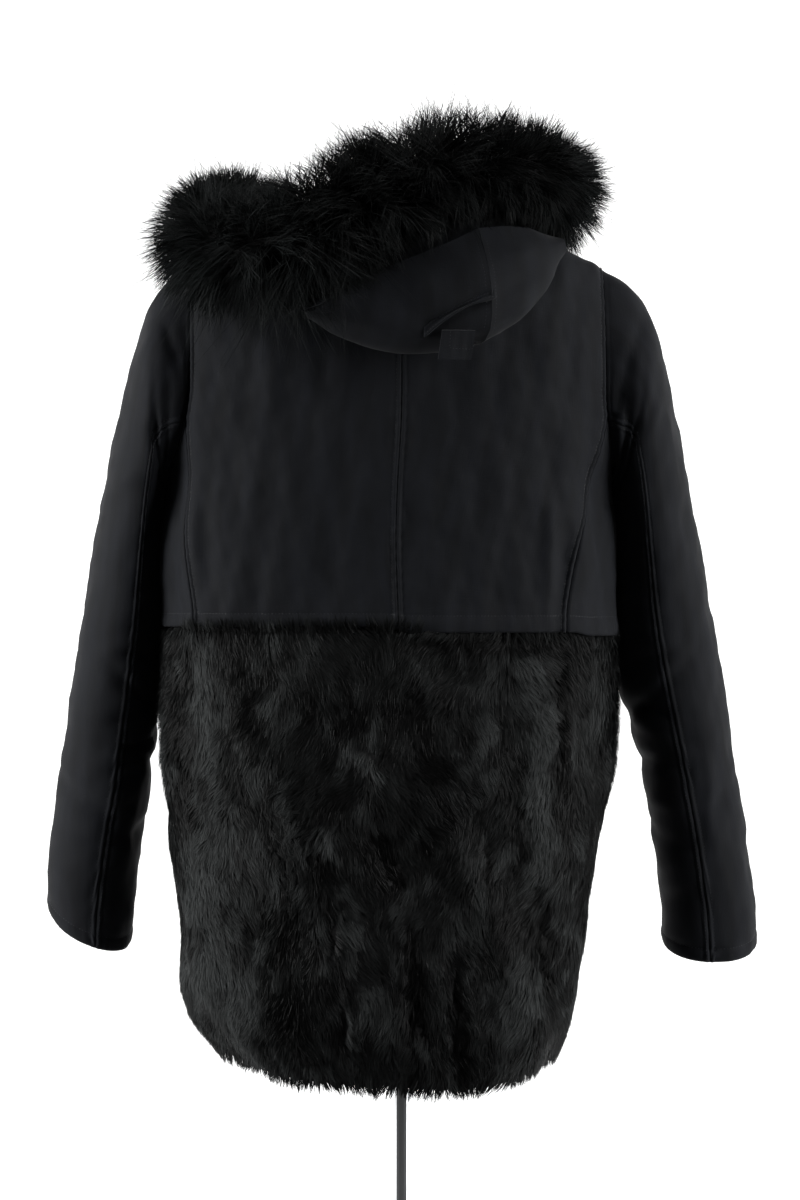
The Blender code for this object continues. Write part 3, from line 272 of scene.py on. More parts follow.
def armhole_loop(side, turns):
    """Angle and height of the armhole: 0 at the shoulder, 90 behind, 180 under the arm."""
    turn = np.radians(turns)
    lower = np.cos(turn) < 0
    reach = np.where(lower, ARMHOLE_WIDEST - UNDERARM, SHOULDER - ARMHOLE_WIDEST)
    height = ARMHOLE_WIDEST + reach * np.cos(turn)
    above = np.maximum(height, ARMHOLE_WIDEST)
    left, right = read_table(CANVAS_RINGS, 1, above), read_table(CANVAS_RINGS, 2, above)
    share = np.abs(ARMHOLE_X[side] - (left + right) / 2) / ((right - left) / 2)
    power = np.clip(share, 0, 1 - 1e-9) ** SQUARENESS
    opening = 90 - np.degrees(np.arctan((power / (1 - power)) ** (1 / SQUARENESS)))
    opening = opening * np.where(lower, np.abs(np.sin(turn)), 1.0)
    behind = np.where(np.sin(turn) >= 0, -1.0, 1.0)
    return side * (90 + behind * opening), height


def turn_at_height(height):
    """Where the armhole's lower half has a height, in degrees from the shoulder."""
    reach = (ARMHOLE_WIDEST - height) / (ARMHOLE_WIDEST - UNDERARM)
    return 180 - math.degrees(math.acos(reach))


def princess_angle(side, rise):
    """The princess seam's place round the body; rise is 0 at the waist, 1 at the armhole."""
    which = 2 if side > 0 else 1
    angle = read_table(PRINCESS_SEAMS, which, WAIST + rise * (PRINCESS_TOP - WAIST))
    top = armhole_loop(side, np.array(turn_at_height(PRINCESS_TOP)))[0]
    return angle + (top - PRINCESS_SEAMS[-1, which]) * rise**4


def shares(width, middle, first=True, last=True):
    """Places across a piece from 0 to 1, 1.2 mm apart beside a sewn edge."""
    fine = np.arange(0, 0.0110, 0.0012) / width
    low = fine if first else np.zeros(1)
    high = 1 - fine[::-1] if last else np.ones(1)
    return np.concatenate([low, np.linspace(low[-1], high[0], middle)[1:-1], high])


def running_length(points):
    """How far each point of a line, or of each column of a grid, is along it."""
    step = np.linalg.norm(np.diff(points, axis=0), axis=-1)
    return np.concatenate([0 * step[:1], np.cumsum(step, axis=0)])


def cloth_distances(grid):
    """How far each point of a grid is along the cloth from each of the grid's four edges."""
    across = running_length(grid.swapaxes(0, 1)).T
    along = running_length(grid)
    return {
        "left": across,
        "right": across[:, -1:] - across,
        "low": along,
        "high": along[-1:] - along,
    }


def grid_normals(grid, middle):
    """Unit normals of a grid of points, away from a point or a line of points inside."""
    normal = unit(np.cross(np.gradient(grid, axis=0), np.gradient(grid, axis=1)))
    return normal * np.sign(((grid - middle) * normal).sum(axis=-1, keepdims=True))


def seam_relief(distance, along, inset, height):
    """A turned edge: it dips at the seam, swells over the folded cloth and is drawn in by the
    topstitching, with a pucker every 9 to 13 mm."""
    pucker = 1 + 0.55 * np.sin(along * 2 * np.pi / 0.011 + 3 * np.sin(along * 47))
    swell = np.exp(-(((distance - 0.5 * inset) / (0.42 * inset)) ** 2))
    dip = np.exp(-((distance / 0.0011) ** 2))
    drawn = np.exp(-(((distance - inset) / 0.0016) ** 2))
    return height * (swell * pucker - 0.9 * dip - 0.65 * drawn * (2 - pucker))


def on_photo(x, y, depth):
    """The X and Z of a photo pixel on something that far in front of or behind the pole."""
    scale = PIXEL * (VIEW_DISTANCE + depth) / VIEW_DISTANCE
    across = ((x - POLE_X) * scale + depth * math.sin(VIEW_TURN)) / math.cos(VIEW_TURN)
    return across, VIEW_HEIGHT + (LEVEL_Y - y) * scale


def crease_relief(points, creases, depth, shown):
    """Creases drawn as lines over the photo, with width and height in millimetres."""
    total = 0 * points[..., 0]
    flat = points[..., [0, 2]]
    for x0, y0, x1, y1, width, height in creases:
        start = np.array(on_photo(x0, y0, depth))
        line = np.array(on_photo(x1, y1, depth)) - start
        t = np.clip(((flat - start) @ line) / (line @ line), 0, 1)
        away = np.linalg.norm(flat - start - t[..., None] * line, axis=-1)
        fade = (4 * t * (1 - t) + 0.15) / 1.15
        total += height * fade * np.exp(-((away / width * 1000) ** 2)) / 1000
    return total * shown


def ripple(a, b, size, seed):
    """Soft unevenness of a surface, about 1 high either way and of a size in metres."""
    total = 0 * a
    for k in range(1, 7):
        turn = 2.399 * k + seed
        pace = 2 * np.pi / size * (0.6 + 0.17 * k)
        total = total + np.sin(pace * (a * math.cos(turn) + b * math.sin(turn)) + 5 * turn)
    return total / 3


def mesh_object(name, points, faces, finish):
    """An object with its own smooth mesh in one finish."""
    mesh = bpy.data.meshes.new(name)
    mesh.vertices.add(len(points))
    mesh.vertices.foreach_set("co", np.asarray(points, np.float32).ravel())
    mesh.loops.add(faces.size)
    mesh.loops.foreach_set("vertex_index", np.asarray(faces, np.int32).ravel())
    mesh.polygons.add(len(faces))
    mesh.polygons.foreach_set("loop_start", np.arange(0, faces.size, faces.shape[1], dtype=np.int32))
    mesh.update(calc_edges=True)
    mesh.validate()
    mesh.shade_smooth()
    mesh.materials.append(finish)
    obj = bpy.data.objects.new(name, mesh)
    bpy.context.scene.collection.objects.link(obj)
    return obj


def grid_object(name, grid, finish, normal, wall=None):
    """A sheet through a grid of points that faces along its normals, with a wall inwards.

    Its UV map is in metres along the cloth.
    """
    rows, columns = grid.shape[:2]
    index = np.arange(rows * columns).reshape(rows, columns)
    faces = np.stack([index[:-1, :-1], index[:-1, 1:], index[1:, 1:], index[1:, :-1]], axis=-1)
    faces = faces.reshape(-1, 4)
    facing = np.cross(grid[1:, :-1] - grid[:-1, :-1], grid[:-1, 1:] - grid[:-1, :-1])
    if (facing * normal[:-1, :-1]).sum() > 0:
        faces = faces[:, ::-1]
    obj = mesh_object(name, grid.reshape(-1, 3), faces, finish)
    apart = cloth_distances(grid)
    flat = np.stack([apart["left"] - apart["left"].mean(axis=1, keepdims=True), apart["low"]], -1)
    uv = obj.data.uv_layers.new(name="cloth").uv
    uv.foreach_set("vector", flat.reshape(-1, 2)[faces.ravel()].astype(np.float32).ravel())
    if wall:
        shell = obj.modifiers.new("cloth", "SOLIDIFY")
        shell.thickness = wall
        shell.offset = -1.0
    return obj


def sewn_on(piece, node=None):
    """A piece that rides on the part's one body, and stands for a solid if that is named."""
    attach(piece, "root")
    if node:
        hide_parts(node)


canvas = new_material("washed_cotton_canvas")
weave_map = add(canvas, "UVMap", uv_map="cloth")
warp = add(canvas, "Mapping", {"Vector": (weave_map, "UV"), "Scale": (700.0, 90.0, 1.0)})
weft = add(canvas, "Mapping", {"Vector": (weave_map, "UV"), "Scale": (90.0, 700.0, 1.0)})
warp_slubs = add(canvas, "TexNoise", {"Vector": (warp, "Vector"), "Scale": 1.0, "Detail": 2.0})
weft_slubs = add(canvas, "TexNoise", {"Vector": (weft, "Vector"), "Scale": 1.0, "Detail": 2.0})
threads = add(canvas, "Math", {0: (warp_slubs, "Fac"), 1: (weft_slubs, "Fac")}, operation="ADD")
threads = add(canvas, "Math", {0: (threads, 0), 1: 0.5}, operation="MULTIPLY")
streaks = add(canvas, "Mapping", {"Vector": (weave_map, "UV"), "Scale": (60.0, 11.0, 1.0)})
fading = add(canvas, "TexNoise", {"Vector": (streaks, "Vector"), "Scale": 1.0, "Detail": 5.0})
worn = add(
    canvas,
    "MapRange",
    {"Value": (fading, "Fac"), "From Min": 0.36, "From Max": 0.68, "To Min": 0.0, "To Max": 0.8},
)
wash = add(canvas, "Math", {0: (threads, 0), 1: (worn, "Result")}, operation="MULTIPLY_ADD")
wash.inputs[2].default_value = 0.12
tone = add(
    canvas,
    "Mix",
    {0: (wash, 0), 6: srgb("050608"), 7: srgb("121419")},
    data_type="RGBA",
)
relief = add(canvas, "Bump", {"Height": (threads, 0), "Strength": 0.35, "Distance": 0.0007})
cloth = add(
    canvas,
    "BsdfPrincipled",
    {
        "Base Color": (tone, 2),
        "Roughness": 0.78,
        "Specular IOR Level": 0.09,
        "Sheen Weight": 0.02,
        "Sheen Roughness": 0.45,
        "Normal": (relief, "Normal"),
    },
)
add(canvas, "OutputMaterial", {"Surface": (cloth, "BSDF")})

BACK_CREASES = (  # from x, y to x, y on the photo, width and height in mm
    (553, 486, 552, 616, 6, 2.0),
    (573, 515, 563, 618, 7, -2.2),
    (600, 395, 597, 500, 7, -1.6),
    (196, 452, 192, 618, 8, 2.0),
    (212, 470, 206, 600, 8, -1.4),
    (181, 545, 176, 612, 6, -1.6),
    (232, 402, 330, 384, 15, 0.9),
    (450, 420, 560, 398, 16, 0.9),
    (300, 556, 362, 612, 13, -0.9),
    (474, 552, 430, 612, 13, 0.9),
    (252, 520, 243, 612, 10, 0.9),
    (330, 440, 352, 560, 16, -0.8),
    (500, 500, 512, 606, 14, -0.8),
)
FRONT_CREASES = (  # the same for the front, which the photo hides
    (556, 480, 560, 612, 7, 2.0),
    (530, 430, 512, 606, 9, -1.6),
    (600, 400, 588, 560, 8, -1.8),
    (244, 470, 252, 612, 8, 1.8),
    (226, 420, 222, 590, 7, -1.6),
    (296, 430, 330, 600, 13, 1.0),
    (486, 390, 470, 520, 13, -1.0),
)


stitched_edges = {}  # by piece: its grid, normals and distances, which the topstitching needs


def waist_drop(angle):
    """How far the canvas edge hangs below the seam: a little more to the wearer's right."""
    more = smooth_step(-5, 4, angle) * (1 - smooth_step(120, 150, angle))
    return 0.0015 + 0.0060 * more + 0.0035 * smooth_step(47, 54, angle) * more


def body_piece(name, angle, height, sewn):
    """A canvas panel with its folds, its creases and the relief of its seams."""
    grid = canvas_surface(angle, height)
    normal = grid_normals(grid, BODY_MIDDLE)
    behind = smooth_step(-0.02, 0.05, -grid[..., 1])
    apart = cloth_distances(grid)
    lift = crease_relief(grid, BACK_CREASES, BACK_DEPTH, behind)
    before = smooth_step(0.0, 0.06, grid[..., 1])
    lift += crease_relief(grid, FRONT_CREASES, FRONT_DEPTH, before)
    lift += 0.0009 * ripple(grid[..., 0] * 2, grid[..., 2], 0.11, 1.0)
    lift += 0.0003 * ripple(grid[..., 0] * 2, grid[..., 2], 0.038, 5.0)
    lift *= 1.5 * smooth_step(-0.002, 0.014, np.minimum(apart["left"], apart["right"]))
    for edge, inset, size in sewn:
        along = apart["low"] if edge in ("left", "right") else apart["left"]
        lift += seam_relief(apart[edge], along, inset, size)
    grid = grid + normal * lift[..., None]
    drop = waist_drop(angle) * np.clip(1 - apart["low"] / 0.020, 0, 1)
    grid[..., 2] -= drop
    grid += normal * (0.35 * drop)[..., None]
    stitched_edges[name] = (grid, normal, apart)
    return grid_object(name, grid, canvas, normal, CANVAS_WALL)


WAIST_HEM = ("low", 0.0125, 0.0006)  # an edge, how far in it is stitched and how high it swells
dome = SHOULDER + np.linspace(0, 1, 22)[1:] * (NECK - SHOULDER)
BACK_WIDTH, FRONT_EDGE = 0.235, 179.6  # metres, and degrees
hem_rows = np.arange(0, 0.018, 0.0015)
near_waist = np.concatenate([hem_rows / (PRINCESS_TOP - WAIST), np.linspace(0.09, 1, 56)])
low = np.concatenate([hem_rows / (UNDERARM - WAIST), np.linspace(0.13, 1, 34)])
for word, side in (("left", -1), ("right", 1)):
    turns = np.linspace(turn_at_height(PRINCESS_TOP), 0, 52)[1:]
    loop_angle, loop_height = armhole_loop(side, turns)
    heights = np.concatenate([WAIST + near_waist * (PRINCESS_TOP - WAIST), loop_height, dome])
    edge = np.concatenate(
        [princess_angle(side, near_waist), loop_angle, np.full(len(dome), side * 90.0)]
    )
    across = shares(BACK_WIDTH, 44)[None, :]
    angle = edge[:, None] * across
    panel = body_piece(
        "cloth_back_" + word,
        angle,
        heights[:, None] + 0 * angle,
        (("left", 0.0052, 0.0009), ("right", 0.0062, 0.0011), WAIST_HEM),
    )
    sewn_on(panel, "back_" + word)

    turns = np.linspace(turn_at_height(PRINCESS_TOP), 180, 30)
    loop_angle, loop_height = armhole_loop(side, turns)
    top_share = (loop_angle - loop_angle[0]) / (side * 90.0 - loop_angle[0])
    rise = near_waist[:, None]
    height = WAIST + rise * (loop_height[None, :] - WAIST)
    back_edge = princess_angle(side, rise)
    even = np.linspace(0, 1, 30)[None, :]
    across = even + (top_share[None, :] - even) * rise**3
    angle = back_edge + (side * 90.0 - back_edge) * across
    sewn = (("left", 0.004, 0.0004), WAIST_HEM)
    panel = body_piece("cloth_side_back_" + word, angle, height, sewn)
    sewn_on(panel, "side_back_" + word)
    area = 0.0129 if side < 0 else 0.0184

    turns = np.linspace(180, 360, 60)[1:]
    loop_angle, loop_height = armhole_loop(side, turns)
    heights = np.concatenate([WAIST + low * (UNDERARM - WAIST), loop_height, dome])
    edge = np.concatenate(
        [np.full(len(low), side * 90.0), loop_angle, np.full(len(dome), side * 90.0)]
    )
    across = np.linspace(0, 1, 44)[None, :]
    angle = edge[:, None] + (side * FRONT_EDGE - edge[:, None]) * across
    sewn = (("left", 0.006, 0.0008), WAIST_HEM)
    panel = body_piece("cloth_front_" + word, angle, heights[:, None] + 0 * angle, sewn)
    sewn_on(panel, "front_" + word)

# The fly: a doubled strip of the same canvas that is sewn down the left front's edge and
# covers the fastening, topstitched along its free edge.
FLY_START, FLY_TURN = 168.0, 24.0  # degrees
FLY_WIDTH, FLY_PROUD = 0.064, 0.0032
heights = np.linspace(WAIST + 0.002, NECK - 0.006, 110)
angle = FLY_START + FLY_TURN * shares(FLY_WIDTH, 10)[None, :] + 0 * heights[:, None]
grid = canvas_surface(angle, heights[:, None] + 0 * angle)
normal = grid_normals(grid, BODY_MIDDLE)
apart = cloth_distances(grid)
lift = FLY_PROUD + crease_relief(grid, FRONT_CREASES, FRONT_DEPTH, 1.0)
for edge in ("left", "right"):
    lift = lift + seam_relief(apart[edge], apart["low"], 0.0060, 0.0007)
grid = grid + normal * lift[..., None]
fly = grid_object("cloth_front_fly", grid, canvas, normal, DOUBLED_WALL)
stitched_edges["cloth_front_fly"] = (grid, normal, apart)
sewn_on(fly, "front_placket")

# ---------------------------------------------------------------- the sleeves
# Each sleeve is a top and an under piece of the same canvas, set into the armhole full at the
# head. A row of topstitching runs down each side of the seam behind and round the cuff.
RIGHT_SLEEVE = np.array(
    [  # along, outer x, outer z, inner x, inner z, middle y, depth, lean
        (0.00, 0.2105, 1.4570, 0.2225, 1.2400, 0.0100, 0.068, 0.0),
        (0.05, 0.2385, 1.4410, 0.2250, 1.2360, 0.0110, 0.073, 0.0),
        (0.10, 0.2600, 1.4180, 0.2270, 1.2300, 0.0130, 0.076, 0.0),
        (0.17, 0.2750, 1.3780, 0.2290, 1.2150, 0.0170, 0.077, 2.0),
        (0.25, 0.2900, 1.3190, 0.2315, 1.1850, 0.0230, 0.076, 4.0),
        (0.35, 0.3065, 1.2400, 0.2320, 1.1350, 0.0320, 0.073, 6.0),
        (0.45, 0.3225, 1.1650, 0.2330, 1.0800, 0.0400, 0.070, 8.0),
        (0.55, 0.3370, 1.0900, 0.2400, 1.0250, 0.0460, 0.067, 10.0),
        (0.65, 0.3500, 1.0150, 0.2520, 0.9700, 0.0500, 0.064, 12.0),
        (0.75, 0.3620, 0.9400, 0.2650, 0.9100, 0.0540, 0.061, 14.0),
        (0.85, 0.3745, 0.8650, 0.2770, 0.8430, 0.0580, 0.058, 16.0),
        (0.94, 0.3845, 0.7900, 0.2840, 0.7820, 0.0610, 0.055, 19.0),
        (1.00, 0.3880, 0.7450, 0.2855, 0.7440, 0.0640, 0.053, 21.0),
    ]
)
LEFT_SLEEVE = np.array(
    [  # the same columns
        (0.00, -0.2225, 1.4570, -0.2455, 1.2400, 0.0100, 0.068, 0.0),
        (0.05, -0.2450, 1.4410, -0.2480, 1.2360, 0.0110, 0.073, 0.0),
        (0.10, -0.2635, 1.4160, -0.2500, 1.2300, 0.0130, 0.076, 0.0),
        (0.17, -0.2785, 1.3730, -0.2520, 1.2150, 0.0180, 0.077, 2.0),
        (0.25, -0.2940, 1.3100, -0.2530, 1.1850, 0.0270, 0.074, 4.0),
        (0.35, -0.3095, 1.2360, -0.2515, 1.1350, 0.0380, 0.071, 6.0),
        (0.45, -0.3235, 1.1600, -0.2505, 1.0800, 0.0460, 0.069, 8.0),
        (0.55, -0.3355, 1.0850, -0.2525, 1.0250, 0.0510, 0.066, 10.0),
        (0.65, -0.3470, 1.0100, -0.2560, 0.9700, 0.0540, 0.063, 12.0),
        (0.75, -0.3570, 0.9380, -0.2620, 0.9150, 0.0570, 0.060, 14.0),
        (0.85, -0.3660, 0.8730, -0.2720, 0.8530, 0.0600, 0.057, 16.0),
        (0.94, -0.3715, 0.8150, -0.2790, 0.7890, 0.0620, 0.054, 20.0),
        (1.00, -0.3700, 0.7840, -0.2820, 0.7520, 0.0640, 0.052, 24.0),
    ]
)
ROUND_CREASES = (  # along, angle, slant, length, width, depth
    (0.10, 150.0, 0.030, 60.0, 0.016, 0.0050),
    (0.17, 165.0, 0.040, 65.0, 0.018, 0.0060),
    (0.52, 120.0, -0.020, 50.0, 0.014, 0.0030),
    (0.60, 150.0, 0.030, 70.0, 0.014, 0.0045),
    (0.66, 135.0, -0.030, 80.0, 0.013, 0.0040),
    (0.71, 200.0, 0.020, 75.0, 0.013, 0.0045),
    (0.78, 60.0, 0.025, 60.0, 0.015, 0.0030),
    (0.58, 265.0, -0.025, 70.0, 0.014, 0.0045),
    (0.82, 150.0, -0.020, 60.0, 0.012, 0.0030),
)
SLEEVE_CREASES = {  # by side: from x, y to x, y on the photo, width and height in mm
    -1: (
        (165, 327, 173, 352, 5, -2.0),
        (173, 352, 181, 376, 5, -2.2),
        (158, 415, 153, 456, 6, -2.6),
        (140, 472, 116, 492, 8, 1.3),
        (150, 552, 118, 566, 7, -1.3),
        (140, 640, 98, 652, 7, 1.3),
        (150, 712, 112, 722, 5, -1.9),
        (152, 735, 108, 746, 5, 1.9),
        (150, 758, 98, 772, 6, -1.7),
        (146, 790, 106, 801, 6, 1.5),
        (122, 818, 84, 800, 7, -1.2),
        (130, 862, 88, 872, 7, 1.2),
        (120, 900, 84, 894, 6, -1.0),
    ),
    1: (
        (641, 322, 626, 356, 6, -2.3),
        (625, 357, 617, 386, 6, -2.6),
        (617, 384, 614, 414, 6, -2.8),
        (656, 396, 645, 438, 6, 1.8),
        (626, 413, 629, 453, 6, -2.6),
        (640, 556, 664, 570, 7, -1.2),
        (640, 640, 682, 651, 7, 1.2),
        (634, 704, 680, 722, 6, -1.9),
        (633, 735, 690, 748, 6, 1.9),
        (637, 764, 700, 771, 6, -1.6),
        (641, 799, 690, 812, 6, 1.4),
        (713, 764, 713, 842, 5, 1.5),
        (650, 872, 702, 860, 7, 1.2),
        (656, 906, 706, 894, 6, -1.1),
    ),
}


SLEEVE_DEPTH = -0.01
SLEEVE_LENGTH, SLEEVE_SQUARENESS = 0.70, 2.15
FLAT_AT_BODY = 0.0075  # how far the inner side is pressed in where it hangs at the body
TURNED_UP, TURNED_IN = 0.005, 0.002


def sleeve_ring(table, turn, along):
    """The plain sleeve: a ring between its outer and inner edge, leaning back lower down."""
    outer_x, outer_z, inner_x, inner_z, y, depth, lean = (
        read_table(table, k, along) for k in range(1, 8)
    )
    out = np.stack([(outer_x - inner_x) / 2, 0 * y, (outer_z - inner_z) / 2], axis=-1)
    middle = np.stack([(outer_x + inner_x) / 2, y, (outer_z + inner_z) / 2], axis=-1)
    lean = np.radians(lean)
    behind = np.stack([0 * y, -np.cos(lean), -np.sin(lean)], axis=-1) * depth[..., None]
    back, outwards = rounded(np.radians(turn), SLEEVE_SQUARENESS)
    return middle, out * outwards[..., None] + behind * back[..., None]


def sleeve_surface(table, side, turn, along):
    """The outside of a sleeve with its folds, sewn to the armhole and flat beside the body."""
    middle, radial = sleeve_ring(table, turn, along)
    creases = 0 * turn
    for place, angle, slant, length, width, depth in ROUND_CREASES:
        offset = (turn - angle + 180) % 360 - 180
        line = place + slant * offset / 60
        reach = np.exp(-((offset / length) ** 2))
        creases = creases - depth * reach * np.exp(-(((along - line) / width) ** 2))
    away = smooth_step(0.02, 0.08, along) * smooth_step(0, 0.04, 1 - along)
    inner_side = np.exp(-(((turn % 360 - 180) / 38) ** 2))
    beside_body = smooth_step(0.03, 0.09, along) * (1 - smooth_step(0.52, 0.68, along))
    creases = creases * (1 - 0.8 * inner_side * beside_body)
    size = np.linalg.norm(radial, axis=-1, keepdims=True)
    first_middle, first_radial = sleeve_ring(table, turn, 0 * along)
    armhole = canvas_surface(*armhole_loop(side, turn))
    near = (1 - smooth_step(0, 0.16, along))[..., None]
    points = middle + radial * (1 + (creases * away)[..., None] / size)
    points = points + (armhole - first_middle - first_radial) * near
    points[..., 0] -= side * FLAT_AT_BODY * beside_body * inner_side
    return points


for word, side, table in (("left", -1, LEFT_SLEEVE), ("right", 1, RIGHT_SLEEVE)):
    for part, start_seam, end_seam, middle_count in (  # a seam's angles at the head and the cuff
        ("top", (-124.0, -114.0), (114.0, 98.0), 42),
        ("under", (114.0, 98.0), (236.0, 246.0), 22),
    ):
        fine = np.arange(0, 0.0180, 0.0016) / SLEEVE_LENGTH
        along = np.concatenate([fine, np.linspace(fine[-1], 1 - fine[-1], 96)[1:-1], 1 - fine[::-1]])
        along = along[:, None]
        start = start_seam[0] + (start_seam[1] - start_seam[0]) * along
        end = end_seam[0] + (end_seam[1] - end_seam[0]) * along
        width = 0.30 if part == "top" else 0.15
        turn = start + (end - start) * shares(width, middle_count)[None, :]
        along = along + 0 * turn
        grid = sleeve_surface(table, side, turn, along)
        around = np.arange(0, 360, 10.0)[None, :]
        axis = sleeve_surface(table, side, around + 0 * along[:, :1], along[:, :1] + 0 * around)
        axis = axis.mean(axis=1, keepdims=True)
        normal = grid_normals(grid, axis)
        behind = smooth_step(-0.01, 0.03, axis[..., 1] - grid[..., 1])
        lift = crease_relief(grid, SLEEVE_CREASES[side], SLEEVE_DEPTH, behind)
        lift += 0.0008 * ripple(grid[..., 1] + grid[..., 0], grid[..., 2], 0.085, 2.0 + side)
        lift += 0.0004 * ripple(grid[..., 1] + grid[..., 0], grid[..., 2], 0.033, 7.0 + side)
        lift *= 1.4
        apart = cloth_distances(grid)
        lift += seam_relief(apart["high"], apart["left"], 0.0140, 0.0008)
        lift += seam_relief(apart["low"], apart["left"], 0.0040, 0.0005)
        for edge in ("left", "right"):
            lift += seam_relief(apart[edge], apart["low"], 0.0060, 0.0007)
        lift *= smooth_step(-0.002, 0.010, apart["low"])
        grid = grid + normal * lift[..., None]
        name = "cloth_sleeve_" + word + "_" + part
        stitched_edges[name] = (grid, normal, apart)
        turning = grid[:1] - unit(grid[1:2] - grid[:1]) * TURNED_UP - normal[:1] * TURNED_IN
        whole = np.concatenate([turning, grid])
        facing = np.concatenate([normal[:1], normal])
        sleeve = grid_object(name, whole, canvas, facing, CANVAS_WALL)
        sewn_on(sleeve, "sleeve_" + word + "_" + part)
        flat, area = {
            ("left", "top"): ((0.31, 0.70), 0.143),
            ("right", "top"): ((0.33, 0.72), 0.161),
            ("left", "under"): ((0.16, 0.60), 0.073),
            ("right", "under"): ((0.17, 0.62), 0.079),
        }[word, part]

# ---------------------------------------------------------------- the topstitching
# Black polyester thread, in stitches about 3 mm long that stand a little proud beside the
# seams. They are as fine as real ones and show as a broken line where the light grazes them.
thread = new_material("polyester_thread")
place = add(thread, "TexCoord")
twist = add(thread, "TexNoise", {"Vector": (place, "Object"), "Scale": 900.0, "Detail": 1.0})
tone = add(
    thread, "Mix", {0: (twist, "Fac"), 6: srgb("101114"), 7: srgb("26272b")}, data_type="RGBA"
)
lustre = add(
    thread,
    "BsdfPrincipled",
    {"Base Color": (tone, 2), "Roughness": 0.45, "Specular IOR Level": 0.25},
)
add(thread, "OutputMaterial", {"Surface": (lustre, "BSDF")})


def line_at(name, edge, inset):
    """The line on a piece that runs an inset from one of its edges, with its normals."""
    grid, normal, apart = stitched_edges[name]
    if edge in ("low", "high"):
        grid, normal, distance = grid.swapaxes(0, 1), normal.swapaxes(0, 1), apart[edge].T
    else:
        distance = apart[edge]
    points, facings = [], []
    for row in range(len(grid)):
        order = np.argsort(distance[row])
        at = distance[row][order]
        if at[-1] > 2 * inset:
            points.append([np.interp(inset, at, grid[row][order, k]) for k in range(3)])
            facings.append([np.interp(inset, at, normal[row][order, k]) for k in range(3)])
    return np.array(points), unit(np.array(facings))


STITCH = (0.0036, 0.0027, 0.0009, 0.0005)  # pitch, length, width and height
STITCH_SINK = 0.00015


def stitches(points, facings, pitch, length, width, height):
    """Small raised stitches along a line: each has a start, an end, two sides and a top."""
    along = running_length(points)
    places = np.arange(pitch, along[-1] - pitch, pitch)

    def read(values, at):
        return np.stack([np.interp(at, along, values[:, k]) for k in range(3)], -1)

    start, end = read(points, places), read(points, places + length)
    facing = unit(read(facings, places + length / 2))
    side = unit(np.cross(end - start, facing)) * width / 2
    middle = (start + end) / 2
    corners = np.stack([start, end, middle + side, middle - side, middle + facing * height], 1)
    corners = corners - facing[:, None] * STITCH_SINK
    base = 5 * np.arange(len(places))[:, None, None]
    faces = np.array([[0, 2, 4], [2, 1, 4], [1, 3, 4], [3, 0, 4]])[None] + base
    return corners.reshape(-1, 3), faces.reshape(-1, 3)


def joined(name, parts, finish):
    """One object of many small meshes of triangles."""
    points, faces, count = [], [], 0
    for some_points, some_faces in parts:
        points.append(some_points)
        faces.append(some_faces + count)
        count += len(some_points)
    return mesh_object(name, np.concatenate(points), np.concatenate(faces), finish)


rows = []
BACKS = ("back_left", "back_right")
SLEEVE_TOPS = ("sleeve_left_top", "sleeve_right_top")
SLEEVE_UNDERS = ("sleeve_left_under", "sleeve_right_under")
for edge, inset, names in (
    ("right", 0.0062, BACKS),
    ("left", 0.0052, ("back_left",)),
    ("low", 0.0125, (*BACKS, "side_back_left", "side_back_right", "front_left", "front_right")),
    ("left", 0.0060, ("front_fly",)),
    ("right", 0.0060, ("front_fly",)),
    ("right", 0.0064, SLEEVE_TOPS),
    ("left", 0.0030, SLEEVE_UNDERS),
    ("high", 0.0140, (*SLEEVE_TOPS, *SLEEVE_UNDERS)),
):
    for name in names:
        rows.append(stitches(*line_at("cloth_" + name, edge, inset), *STITCH))
topstitching = joined("topstitching", rows, thread)
sewn_on(topstitching)

# ---------------------------------------------------------------- the hood
# The hood is thrown back and hangs as a pouch of doubled canvas: two halves joined by a
# topstitched centre seam, sewn into the neck, with its long free edge under the ruff.
HOOD_DEPTH = -0.13
HOOD_CREASES = (  # from x, y to x, y on the photo, width and height in mm
    (421, 336, 447, 316, 4, -4.0),
    (446, 317, 488, 298, 4, -4.0),
    (468, 330, 474, 352, 5, -3.0),
    (300, 306, 352, 330, 9, 1.8),
    (318, 292, 372, 318, 9, -1.8),
    (352, 320, 402, 344, 8, 1.6),
    (372, 300, 420, 322, 9, -1.6),
    (500, 262, 540, 246, 9, 1.8),
    (492, 300, 536, 274, 8, -1.6),
    (508, 322, 536, 296, 6, 1.4),
    (400, 268, 430, 300, 11, 1.2),
)


def distance_to_rim(mesh, points):
    """How far each point of a folded piece is from the piece's nearest creased edge."""
    ends = np.empty(len(mesh.edges) * 2, np.int32)
    mesh.edges.foreach_get("vertices", ends)
    sharp = np.empty(len(mesh.edges), np.float32)
    mesh.attributes["crease_edge"].data.foreach_get("value", sharp)
    rim = KDTree(2 * int((sharp > 0.5).sum()))
    for k, place in enumerate(points[ends.reshape(-1, 2)[sharp > 0.5].ravel()]):
        rim.insert(place, k)
    rim.balance()
    return np.array([rim.find(place)[2] for place in points])


def read_vectors(mesh, what):
    """The places or the normals of a mesh's points."""
    values = np.empty(len(mesh.vertices) * 3, np.float32)
    mesh.vertices.foreach_get(what, values)
    return values.reshape(-1, 3).astype(float)


